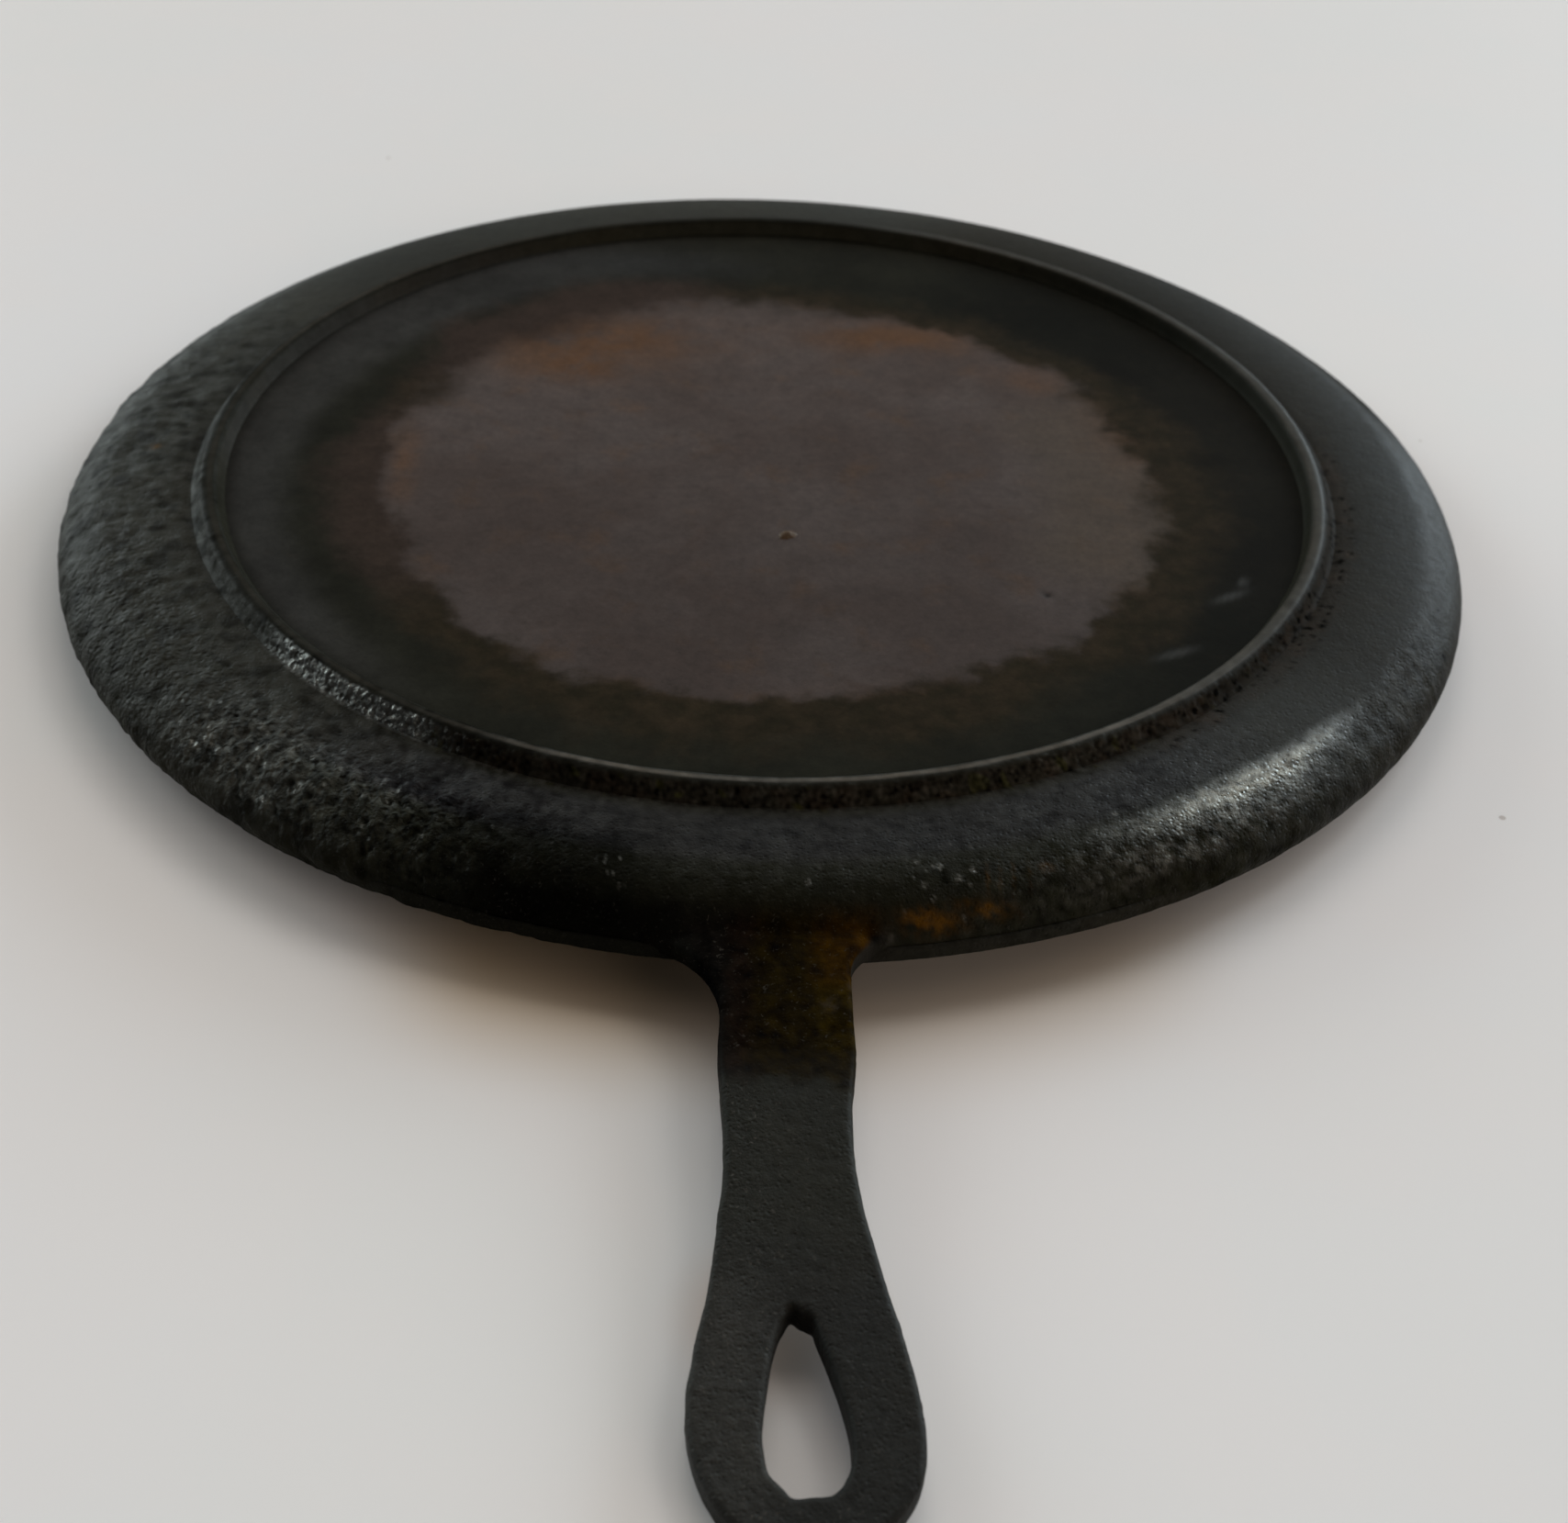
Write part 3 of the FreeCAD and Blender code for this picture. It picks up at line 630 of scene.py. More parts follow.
def root_stain(look):
    """The root: maroon west, olive in the middle, orange east, ending near the waist, with painted
    shade on its west edge and west side and painted light on its east side.
    """
    x, y = look.place[:2]
    pos, medium = look.pos, look.medium
    zone = step(-142.5, -147.5, y) * hump(x, -19.5, -14.0, 14.5, 18.5)
    ragged = y + 2.2 * look.noise(7.0, 239) + 0.9 * look.noise(2.2, 240) + 1.5 * step(2.0, 9.0, x)
    look.stain = np.clip(zone * step(-181.5, -178.5, ragged), 0, 1)
    across = x + 1.8 * look.noise(5.0, 241)
    orange = mix(COLOUR["outer orange"], COLOUR["inner orange"], step(-163.0, -156.0, y))
    orange_share = step(2.0, 8.0, across) * (0.60 + 0.40 * step(-0.3, 0.3, medium))
    tint = mix(COLOUR["maroon"], COLOUR["olive"], step(-7.5, -3.0, across))
    tint = mix(tint, orange, orange_share * step(-178.0, -170.0, y))
    # painted shade along the west edge of the top face
    tint = mix(tint, COLOUR["root west shade"], step(-8.0, -11.0, across) * 0.8)
    mauve = blob(pos, (7.3, -164.5, 4.6), (2.4, 3.0, 3.0))
    mauve += 0.8 * blob(pos, (10.4, -161.0, 4.9), (1.6, 2.2, 3.0))
    mauve = np.clip(mauve * (0.45 + 1.6 * look.noise(1.5, 375)), 0, 1)
    tint = mix(tint, COLOUR["mauve"], mauve * 0.6)
    blotch = 0.86 + 0.55 * look.small + 0.35 * medium + 0.55 * look.noise(1.3, 319)
    tint = tint * np.clip(blotch, 0.12, 3)[:, None]
    # painted light and shade on the sides, below the top face: shaded dark west, lit paler east
    sides = mix(COLOUR["shaded west side"], COLOUR["lit east side"],
                step(0.0, 2.0, x) * step(-147.5, -150.0, y))
    on_face = step(-1.7, -0.8, (pos - HANDLE_START) @ FACING)
    look.paint(mix(sides, tint, on_face) / TONE, look.stain)
    look.rough += 0.08 * look.stain
    look.shine(-0.88 * np.clip(zone * step(-186.0, -170.0, y), 0, 1))


def rim_tone(look):
    z, turn = look.place[2], look.place[5]
    left = hump(turn, 234, 242, 268, 272)
    look.paint("rim left", 0.8 * left * step(1.9, 1.2, np.abs(z - 1.5)))
    look.paint("rim right", 0.6 * hump(turn, 272, 276, 300, 320))
    look.rough += 0.06


def handle_tone(look):
    """Sandy grey of the handle, lighter to the west near its end."""
    x, y = look.place[:2]
    out = step(-150.5, -153.0, y) * (1 - look.stain)
    vary = 1 + 0.12 * look.broad + 0.10 * look.medium + 0.10 * look.small
    vary *= 1 + 0.72 * step(2.0, -9.0, x) * step(-205.0, -232.0, y)
    tone = np.array(COLOUR["handle"]) * vary[:, None]
    tone[:, 2] *= 1 + 0.16 * step(-200.0, -225.0, y)
    look.paint(tone, out)
    look.rough = look.rough * (1 - out) + 0.58 * out
    look.grain = look.grain * (1 - out) + (1.0 + 0.6 * step(0.0, -7.0, x)) * out


def ring_tone(look):
    x, y, z, radius, azim, turn, east = look.place
    far = 1 - hump(turn, 240, 262, 425, 445)
    far *= 1 - hump(turn, 140, 155, 222, 240) * step(119.3, 120.3, radius)
    look.shine(-0.85 * far)
    look.lift(-0.35 * far)
    # crest: thin and bright on the near side, a wide worn band right, faint elsewhere; the lightness
    # is partly worn metal and partly a painted highlight
    wide = 0.40 + 0.65 * hump(turn, 296, 325, 425, 440)
    off_crest = np.abs(radius - 118.1 + 0.15 * look.noise(9.0, 245))
    crest = step(Z_RING - 0.55, Z_RING - 0.10, z) * step(wide + 0.30, wide - 0.05, off_crest)
    bright = 0.16 + 0.84 * hump(turn, 236, 252, 418, 440) + 0.36 * hump(turn, 112, 120, 148, 166)
    broken = np.clip(0.75 + 0.45 * look.medium + 0.3 * look.small, 0, 1)
    look.paint(mix(COLOUR["crest near"], COLOUR["crest right"], step(300, 325, turn)),
               crest * bright * broken)
    look.rough = look.rough * (1 - crest) + 0.40 * crest
    # inner slope, painted lighter on the far and west sides and bluer towards the west: painted light
    slope = step(117.0, 116.4, radius) * (1 - crest)
    lit = hump(azim, 40, 70, 176, 192)
    look.paint(np.array(COLOUR["ring inside"]) * (1 + 0.90 * lit)[:, None], 0.85 * slope)
    look.colour[:, 2] *= 1 + 0.22 * slope * hump(turn, 112, 128, 176, 192)
    look.shine(-(0.70 - 0.15 * hump(azim, 70, 98, 176, 192)) * slope)
    outer = step(119.0, 119.6, radius) * hump(turn, 300, 325, 420, 440)
    look.shine(-0.6 * outer)
    look.lift(-0.25 * outer)
    look.grain *= 1 - 0.6 * crest


def bead_and_pit_gloss(look):
    """Glossy beads at the ring's foot and glints in the pits of the near left wall, both also painted
    lighter and bluish as painted glints.
    """
    x, y, z, radius, azim, turn, east = look.place
    rope = hump(radius, 119.2, 119.8, 121.7, 122.5) * hump(turn, 214, 221, 241, 249)
    bead = step(0.05, 0.42, cells(look.pos, 1.15, 0.8, 0.45, 0.75, 104))
    bead *= 0.35 + 0.65 * hump(turn, 217, 221, 234, 243)
    sleek = rope * hump(turn, 214, 219, 234, 243)
    sleek *= np.clip(0.75 + 0.9 * look.noise(1.4, 351), 0, 1)
    look.gloss += rope * 0.16 * bead + sleek * (0.46 + 0.70 * bead)
    look.rough -= 0.10 * rope * bead + sleek * (0.10 + 0.12 * bead)
    # painted glints: the beads painted bluish white
    look.paint("painted bead glints", sleek * (0.55 + 0.45 * bead))
    deep = deep_pits(azim, radius)
    crowd = np.clip(plan_blobs(x, y, PIT_CROWDS), 0, 1)
    glint = step(0.20, 0.60, cells(look.pos, 1.5, 0.50, 0.30, 0.75, 303))
    glint *= np.clip(0.5 + 1.2 * look.noise(1.0, 357), 0, 1) * (0.25 + 0.75 * crowd)
    look.gloss += deep * glint
    look.rough -= 0.34 * deep * glint
    # painted glints: the pits painted lighter and bluish
    bluish = (0.95 + 0.45 * crowd)[:, None] * [0.98, 1.02, 1.30]
    look.colour = look.colour * (1 + deep[:, None] * bluish)
    crumbs = np.clip(1 + 1.5 * look.noise(1.1, 353) + 1.0 * look.noise(2.2, 355), 0.1, 3.0)
    look.lift(deep * 0.8 * (crumbs - 1))
    look.shine(deep * (crumbs - 1))
    some = hump(azim, 186, 205, 250, 262) * step(126, 134, radius)
    look.pitted = np.maximum.reduce([0.6 * rope, deep, 0.45 * some])
    look.gloss += 0.10 * some * (1 - deep) * glint
    look.rough -= 0.06 * some * (1 - deep) * glint


def grain_tone(look):
    # painted light and shade of the relief: lighter on lumps and raised grain, darker in pits and
    # hollows; lighter scratches are bare metal
    look.lift(0.28 * np.clip(look.fine, -1, 1))


def base_tone(look):
    """Black-olive, greyer towards the ring at the left, faintly brown at the right."""
    x, y, z, radius, azim, turn, east = look.place
    reach = np.hypot(x, y + 8.0) / UNIT
    look.colour = np.tile(COLOUR["base"], (len(x), 1))
    look.paint("base right", hump(east, -40, -20, 20, 45) * 0.9)
    grey = hump(turn, 92, 122, 212, 240) * step(97.0, 107.0, reach + 2.5 * look.medium)
    look.paint("base left", grey * (0.85 + 0.15 * hump(turn, 110, 128, 142, 160)))
    look.paint("base far", 0.6 * hump(turn, 95, 112, 128, 150) * step(99.0, 90.0, reach))
    look.lift(-0.48 * hump(east, -64, -40, 50, 75) * step(84.0, 94.0, reach))
    look.paint("base edge", 0.7 * step(112.0, 116.0, radius))
    look.lift(0.25 * look.broad + 0.20 * look.medium)
    look.colour /= TONE


BODY = (body_tone, shoulder_shine, body_shades, body_marks)
LAYERS = {
    "wall": (*BODY, root_stain, bead_and_pit_gloss, grain_tone),
    "rim": (*BODY, root_stain, rim_tone, grain_tone),
    "ring": (*BODY, ring_tone, bead_and_pit_gloss, grain_tone),
    "root": (*BODY, root_stain, handle_tone, grain_tone),
    "neck": (root_stain, handle_tone, grain_tone),
    "eye": (handle_tone, grain_tone),
    "plate": (base_tone,),
}


def finish_of(pos, fine, part):
    """The mesh attributes that the iron materials read."""
    look = Look(pos, fine)
    for layer in LAYERS[part]:
        layer(look)
    return {
        "pitted": np.clip(look.pitted, 0, 1),
        "tint": np.clip(look.colour * TONE, 0.001, 1),
        "rough": np.clip(look.rough, 0.15, 0.9),
        "gloss": np.clip(look.gloss, 0, 1.2),
        "grain": np.clip(look.grain, 0, 2),
        "relief_shade": np.clip(fine, -1.5, 1.5),
    }


# ================================================================ mesh making
def add_attribute(mesh, name, values):
    values = np.asarray(values, np.float32)
    if values.ndim == 2:
        attribute = mesh.attributes.new(name, "FLOAT_COLOR", "POINT")
        opaque = np.ones((len(values), 1), np.float32)
        attribute.data.foreach_set("color", np.concatenate([values, opaque], 1).ravel())
    else:
        mesh.attributes.new(name, "FLOAT", "POINT").data.foreach_set("value", values)


def make_mesh(name, verts, quads, tris=(), attributes=None, normals=None):
    mesh = bpy.data.meshes.new(name)
    quads = np.asarray(quads, np.int32)
    tris = np.asarray(tris, np.int32).reshape(-1, 3)
    mesh.vertices.add(len(verts))
    mesh.vertices.foreach_set("co", (np.asarray(verts, float) * MM).astype(np.float32).ravel())
    corners = np.concatenate([quads.ravel(), tris.ravel()])
    starts = np.concatenate([np.arange(len(quads)) * 4, quads.size + np.arange(len(tris)) * 3])
    mesh.loops.add(len(corners))
    mesh.loops.foreach_set("vertex_index", corners.astype(np.int32))
    mesh.polygons.add(len(starts))
    mesh.polygons.foreach_set("loop_start", starts.astype(np.int32))
    mesh.update(calc_edges=True)
    mesh.validate()
    mesh.polygons.foreach_set("use_smooth", np.ones(len(mesh.polygons), bool))
    for key, values in (attributes or {}).items():
        add_attribute(mesh, key, values)
    if normals is not None:
        mesh.normals_split_custom_set_from_vertices([tuple(n) for n in normals])
    mesh.update()
    ob = bpy.data.objects.new(name, mesh)
    scene.collection.objects.link(ob)
    return ob


def vertex_normals(verts, quads, tris):
    normals = np.zeros_like(verts)
    a, b, c, d = (verts[quads[:, i]] for i in range(4))
    quad_normals = np.cross(c - a, d - b)
    a, b, c = (verts[tris[:, i]] for i in range(3))
    tri_normals = np.cross(b - a, c - a)
    for faces, face_normals in ((quads, quad_normals), (tris, tri_normals)):
        for column in faces.T:
            np.add.at(normals, column, face_normals)
    return normals / np.maximum(np.linalg.norm(normals, axis=1, keepdims=True), 1e-12)


def ring_quads(rows, cols, wrap_rows):
    """Quads of a grid whose columns wrap; the rows wrap too if asked."""
    last = rows if wrap_rows else rows - 1
    i, j = np.meshgrid(np.arange(last), np.arange(cols), indexing="ij")
    i2, j2 = (i + 1) % rows, (j + 1) % cols
    quads = [i * cols + j, i * cols + j2, i2 * cols + j2, i2 * cols + j]
    return np.stack(quads, -1).reshape(-1, 4)


def fan(centre, start, cols, flip=False):
    """Triangles from a centre vertex to a ring of vertices."""
    j = np.arange(cols)
    pair = [start + j, start + (j + 1) % cols]
    return np.stack([np.full(cols, centre)] + (pair[::-1] if flip else pair), 1)


def spin(radii, heights, angles):
    """A row of points round the axis for each radius and height."""
    radii = np.asarray(radii)[:, None]
    heights = np.asarray(heights)[:, None]
    rows = [radii * np.cos(angles), radii * np.sin(angles), heights + 0 * angles]
    return np.stack(rows, -1).reshape(-1, 3)


def turned_piece(name, part, profile, shown, count, front, low=-np.inf, high=np.inf):
    """Sweeps a closed profile (radius, z) round the axis.

    shown is how much of the skin each profile point wears, 0 beyond its end. The columns
    are closer together towards the handle when front is above 0. low and high limit z.
    """
    t = np.linspace(0, 2 * math.pi, count, endpoint=False)
    angles = t + front * np.sin(t) + math.pi / 2
    verts = spin(profile[:, 0], profile[:, 1], angles)
    after = np.roll(profile, -1, 0)
    along = after - np.roll(profile, 1, 0)
    along /= np.linalg.norm(along, axis=1, keepdims=True)
    normals = spin(-along[:, 1], along[:, 0], angles)
    quads = ring_quads(len(profile), count, True)
    if np.sum(profile[:, 0] * after[:, 1] - after[:, 0] * profile[:, 1]) > 0:
        normals = -normals
        quads = quads[:, ::-1]
    worn = np.zeros(len(profile))
    worn[:len(shown)] = shown
    worn = np.repeat(worn, count)
    height, fine = SKINS[part](verts)
    verts = verts + normals * (height * worn)[:, None]
    verts[:, 2] = np.clip(verts[:, 2], low, high)
    return make_mesh(name, verts, quads, attributes=finish_of(verts, fine * worn, part))


def build_wall():
    top = resample(outer_curve, 0.66 * UNIT)
    top[0] = (121.9 * UNIT, Z_TOP - 0.12)
    inside = resample(inner_curve, 2.0 * UNIT)[::-1]
    skirt = np.array([(149.08, 2.45), (149.10, 2.0), (149.10, 1.55), (149.05, 1.1),
                      (148.9, 0.75), (148.5, 0.55)]) * UNIT
    under = [(147.6 * UNIT, 0.9 * UNIT), (146.6 * UNIT, 2.2 * UNIT), (146.0 * UNIT, Z_RIM - 0.30)]
    hidden = [(124.0 * UNIT, Z_COOK), (115.0 * UNIT, Z_COOK), (115.0 * UNIT, Z_TOP - 0.3)]
    shown = [0.6] + [1.0] * (len(top) - 1) + [1.0, 1.0, 1.0, 0.95, 0.8, 0.5]
    profile = np.concatenate([top, skirt, under, inside, hidden])
    return turned_piece("pan_wall", "wall", profile, shown, 1240, 0.32)


def build_rim():
    outside = np.array([(148.55, 2.45), (148.95, 2.84), (149.30, 2.92), (149.62, 2.84),
                        (149.86, 2.64), (149.97, 2.34), (150.0, 1.9), (150.0, 1.0),
                        (149.97, 0.56), (149.86, 0.26), (149.62, 0.07), (149.25, 0.0)]) * UNIT
    outside[:, 1] *= Z_RIM / (2.9 * UNIT)
    top = resample(outside, 0.36 * UNIT)
    inside = np.array([(148.2, 0.0), (147.2, 0.0), (146.4, 0.03), (146.15, 0.18), (145.9, 1.1),
                       (145.6, 2.0), (145.42, 2.75), (146.2, 2.8)]) * UNIT
    shown = [1.0] * len(top) + [0.6, 0.4, 0.3, 0.2, 0.2, 0.2]
    profile = np.concatenate([top, inside])
    return turned_piece("pan_rim", "rim", profile, shown, 1900, 0.25, low=-0.06)


def build_ring():
    base = Z_TOP / UNIT
    top = resample(np.array([
        (114.9, base - 0.25), (115.5, base + 0.10), (115.9, base + 0.9), (116.55, 14.95),
        (116.85, 15.38), (117.35, 15.58), (118.1, 15.60), (118.85, 15.58), (119.35, 15.38),
        (119.9, 14.98), (120.6, 14.0), (121.2, 13.1), (121.7, 12.62), (122.2, base - 0.22),
        (122.9, base - 0.80)]) * UNIT, 0.33 * UNIT)
    for _ in range(2):      # soften the corners
        top[1:-1] = 0.25 * top[:-2] + 0.5 * top[1:-1] + 0.25 * top[2:]
    hidden = np.array([(123.4, base - 0.5), (119.0, base - 0.6), (115.6, base - 0.5)]) * UNIT
    shown = [0.3] + [1.0] * (len(top) - 1)
    return turned_piece("heat_ring_casting", "ring", np.concatenate([top, hidden]), shown,
                        1900, 0.22, high=Z_RING + 0.02)


# ---------------------------------------------------------------- base plate and nub
ORANGE_SPOTS = [  # strength, x, y, reach in x and y
    (1.3, -42.0, 56.0, 36, 17), (0.8, -44.0, 40.0, 20, 10), (1.2, 30.0, 59.0, 26, 11),
    (1.0, 84.0, 18.0, 12, 24), (0.6, 28.0, -88.0, 26, 6), (0.7, -78.0, -2.0, 5, 22),
    (0.5, 62.0, 40.0, 14, 12),
]
WET_SPOTS = [  # x, y, half length, half width, lean in radians
    (92.4, -51.4, 5.5, 1.3, 0.55), (78.0, -72.0, 6.0, 1.4, 0.45), (96.0, -46.0, 2.5, 1.0, 1.1),
]


def build_plate():
    rows, cols = 115, 720
    angles = np.linspace(0, 2 * math.pi, cols, endpoint=False) + math.pi / 2
    radii = np.linspace(0, 1, rows + 1)[1:] * 116.2 * UNIT
    top = np.concatenate([spin(radii, np.full(rows, Z_TOP), angles), [[0, 0, Z_TOP]]])
    height, fine = plate_skin(top)
    top[:, 2] += height
    low_radii = np.array([116.0, 112.0, 98.0, 80.0, 60.0, 40.0, 20.0]) * UNIT
    low = spin(low_radii, [Z_COOK + 0.4] + [Z_COOK] * 6, angles)
    low[:, 2] += np.where(low[:, 2] < Z_COOK + 0.2, 0.06 * fbm(low, 30, 251, 2), 0)
    verts = np.concatenate([top, low, [[0, 0, Z_COOK]]])
    low_start = len(top)
    j = np.arange(cols)
    j2 = (j + 1) % cols
    outer = (rows - 1) * cols
    side = np.stack([outer + j, outer + j2, low_start + j2, low_start + j], 1)
    quads = np.concatenate([ring_quads(rows, cols, False),
                            ring_quads(len(low_radii), cols, False) + low_start, side])
    last_ring = low_start + (len(low_radii) - 1) * cols
    tris = np.concatenate([fan(low_start - 1, 0, cols), fan(len(verts) - 1, last_ring, cols, True)])
    fine = np.concatenate([fine, np.zeros(len(verts) - low_start)])
    attributes = finish_of(verts, fine, "plate")
    attributes["patch"] = patch_depth(verts)
    return make_mesh("base_plate_worn", verts, quads[:, ::-1], tris, attributes)


def build_nub():
    """The small uneven dome on the flat of the base."""
    middle = [(nub_low[0] + nub_high[0]) / 2, (nub_low[1] + nub_high[1]) / 2, 0.0]
    radius = (nub_high[0] - nub_low[0]) / 2
    tall = nub_high[2] - nub_low[2]
    rows, cols = 16, 72
    angles = np.linspace(0, 2 * math.pi, cols, endpoint=False)
    t = np.linspace(0, 1, rows + 1)[1:]
    dome = spin(radius * t, Z_TOP + tall * (1 - t * t) ** 1.3 - 0.12 * t ** 8, angles)
    wobble = (1 + 0.12 * np.sin(2 * angles + 0.6) + 0.07 * np.sin(3 * angles + 2.0)
              + 0.04 * np.sin(7 * angles))
    dome[:, :2] *= np.tile(wobble, rows)[:, None]
    low = spin([radius * 0.8], [Z_TOP - 0.5], angles)
    verts = middle + np.concatenate([[[0, 0, Z_TOP + tall]], dome, low, [[0, 0, Z_TOP - 0.5]]])
    top = 1 + rows * cols
    lumps = 0.07 * noise(verts[:top], 0.9, 257) + 0.08 * noise(verts[:top], 1.7, 263)
    verts[:top, 2] += np.where(verts[:top, 2] > Z_TOP, lumps, 0)
    verts[:, 2] += plate_skin(verts)[0]
    quads = ring_quads(rows + 1, cols, False)[:, ::-1] + 1
    tris = np.concatenate([fan(0, 1, cols), fan(len(verts) - 1, top, cols, True)])
    count = len(verts)
    return make_mesh("casting_nub_pimple", verts, quads, tris, {
        "tint": np.tile(COLOUR["nub"], (count, 1)), "rough": np.full(count, 0.5),
        "gloss": np.full(count, 0.06), "grain": np.full(count, 0.6), "relief_shade": np.zeros(count),
        "patch": patch_depth(verts)})


def add_base_masks(ob):
    """Masks for the colours of the worn base, all seen from above."""
    flat = np.zeros(len(ob.data.vertices) * 3, np.float32)
    ob.data.vertices.foreach_get("co", flat)
    flat = flat.reshape(-1, 3).astype(float) * 1000.0
    flat[:, 2] = Z_TOP
    x, y = flat[:, 0], flat[:, 1]
    east = np.degrees(np.arctan2(y + 9.0, x))
    turn = np.where(east < 0, east + 360, east)
    orange = sum(strength * plan_blob(x, y, *row) for strength, *row in ORANGE_SPOTS)
    # painted reflection: a pale haze over the far part of the base
    painted_haze = plan_blob(x, y, -30.0, 96.0, 42, 11) * (0.9 + 0.7 * fbm(flat, 9, 283, 2))
    masks = {
        "orange": np.clip(orange, 0, 1),
        "crisp": 1.0 - 0.6 * hump(turn, 60, 85, 150, 175) - 0.25 * hump(east, -30, -10, 40, 60),
        "spread": 4.5 * hump(east, -60, -35, 15, 40) + 5.0 * hump(turn, 225, 250, 290, 310)
        + 4.0 * hump(turn, 165, 178, 195, 210) + 7.0 * hump(turn, 92, 108, 136, 152),
        "leftside": 0.75 * hump(turn, 150, 168, 200, 222) + 0.85 * hump(turn, 88, 106, 140, 158),
        "tan": hump(east, -38, -22, 22, 38) * step(50.0, 68.0, np.hypot(x, y + 9.0)),
        "farness": np.clip(y / 75.0, -1, 1),
        "painted_haze": np.clip(painted_haze, 0, 1) * 0.75,
        "wet": np.clip(plan_blobs(x, y, WET_SPOTS) * 1.2, 0, 1),
    }
    for name, values in masks.items():
        add_attribute(ob.data, name, values)


# ================================================================ handle
# The handle is one skin, cut into root, neck and eye. Its plan is drawn on the top face as
# (across, along): across is +X, along is the distance out from the rim.
HALF_WIDTH = 11.0 * UNIT                    # of the root
WEST_HOLLOW = 16.0 * UNIT                   # radii of the hollows between root and rim
EAST_HOLLOW = 7.5 * UNIT
BURIED_RADIUS = 140.5 * UNIT                # inner end of the root, under the wall's skin
CUTS = (ROOT_END, NECK_END)
EDGE_ROUND = 1.2 * UNIT
EDGE_RINGS = [EDGE_ROUND * (1 - math.cos(math.radians(a))) for a in (18, 36, 54, 72, 90)]
OUTLINE_STEP = 0.5 * UNIT
GRID_STEP = 0.56 * UNIT
SIDE_ROWS = 5                               # vertex rows between the top and bottom outlines

# (across, along) in units: out along the west side, round the eye, back along the east side
SIDES = [
    (-11.0, 18.0), (-11.25, 21.0), (-11.35, 24.0), (-11.05, 29.4), (-10.78, 33.9),
    (-10.52, 38.3), (-10.50, 42.6), (-10.56, 46.9), (-10.86, 51.1), (-11.40, 55.2),
    (-11.75, 59.3), (-12.20, 63.3), (-12.66, 67.2), (-13.25, 71.1), (-14.10, 74.9),
    (-14.80, 78.6), (-15.34, 82.3), (-15.98, 85.9), (-16.20, 89.5), (-16.02, 93.0),
    (-15.45, 96.5), (-14.45, 99.9), (-12.95, 103.3), (-10.7, 106.7), (-7.7, 109.6),
    (-3.8, 111.7), (0.7, 112.4), (5.0, 111.8), (9.2, 109.9), (12.9, 107.0), (15.6, 103.4),
    (17.1, 99.9), (17.68, 96.5), (17.76, 93.0), (17.48, 89.5), (17.08, 85.9), (16.45, 82.2),
    (15.72, 78.5), (14.92, 74.8), (14.05, 71.0), (13.22, 67.1), (12.42, 63.2), (11.60, 59.2),
    (10.90, 55.1), (10.28, 51.0), (9.93, 46.8), (9.82, 42.5), (9.88, 38.1), (10.10, 33.7),
    (10.65, 29.2), (11.10, 24.6), (11.05, 21.0), (11.0, 18.0), (11.0, 15.0),
]
# the hole of the eye, from its inner point out along the east side and back
HOLE = [
    (-0.62, 72.9), (0.25, 73.75), (1.17, 74.35), (2.05, 74.75), (2.45, 75.2), (2.62, 76.1),
    (3.29, 78.4), (3.95, 80.4), (5.27, 84.8), (6.34, 88.9), (7.0, 92.6), (7.22, 95.7),
    (7.05, 98.1), (6.45, 100.2), (5.25, 102.2), (3.61, 103.35), (1.5, 103.45), (-1.16, 103.6),
    (-2.45, 102.25), (-4.0, 100.55), (-4.72, 99.2), (-5.18, 96.3), (-5.32, 93.5), (-5.0, 89.6),
    (-4.5, 85.8), (-3.75, 81.0), (-2.98, 77.8), (-2.3, 75.8), (-1.49, 74.1), (-1.0, 73.2),
]
GROW = np.array([1.0, TIP / (112.5 * UNIT)]) * UNIT     # fits both tables to the handle


def inside(loop, points):
    x, y = points.T
    result = np.zeros(len(points), bool)
    for (x0, y0), (x1, y1) in zip(loop, np.roll(loop, -1, 0)):
        hit = (y0 > y) != (y1 > y)
        if hit.any():
            result ^= hit & (x < (x1 - x0) * (y - y0) / (y1 - y0) + x0)
    return result


def distance_to(line, points):
    """Distance from each point to a polyline."""
    start, span = line[:-1], line[1:] - line[:-1]
    length2 = np.maximum((span * span).sum(1), 1e-12)
    best = np.zeros(len(points))
    for k in range(0, len(points), 4000):      # in blocks, to spare memory
        offset = points[k:k + 4000][:, None, :] - start[None]
        t = np.clip((offset * span[None]).sum(2) / length2[None], 0, 1)
        offset = offset - t[:, :, None] * span[None]
        best[k:k + 4000] = np.sqrt((offset * offset).sum(2)).min(1)
    return best


def side_normals(directions):
    """Unit normals to the right of each direction; into the metal for both loops."""
    unit = directions / np.maximum(np.linalg.norm(directions, axis=1, keepdims=True), 1e-9)
    return np.stack([unit[:, 1], -unit[:, 0]], 1)


def with_z(points, z):
    return np.column_stack([points, np.full(len(points), float(z))])


def clear_of_cuts(points, gap):
    return np.abs(points[:, 1:] - np.array(CUTS)).min(1) > gap


def hollow(side, radius):
    """Centre of a hollow and the point where it touches the rim."""
    across = side * (HALF_WIDTH + radius)
    reach = RIM_R + radius
    along = math.sqrt(reach * reach - across * across) - RIM_R
    shrink = RIM_R / reach
    touch = (across * shrink, (RIM_R + along) * shrink - RIM_R)
    return (across, along), math.atan2(touch[1] - along, touch[0] - across)


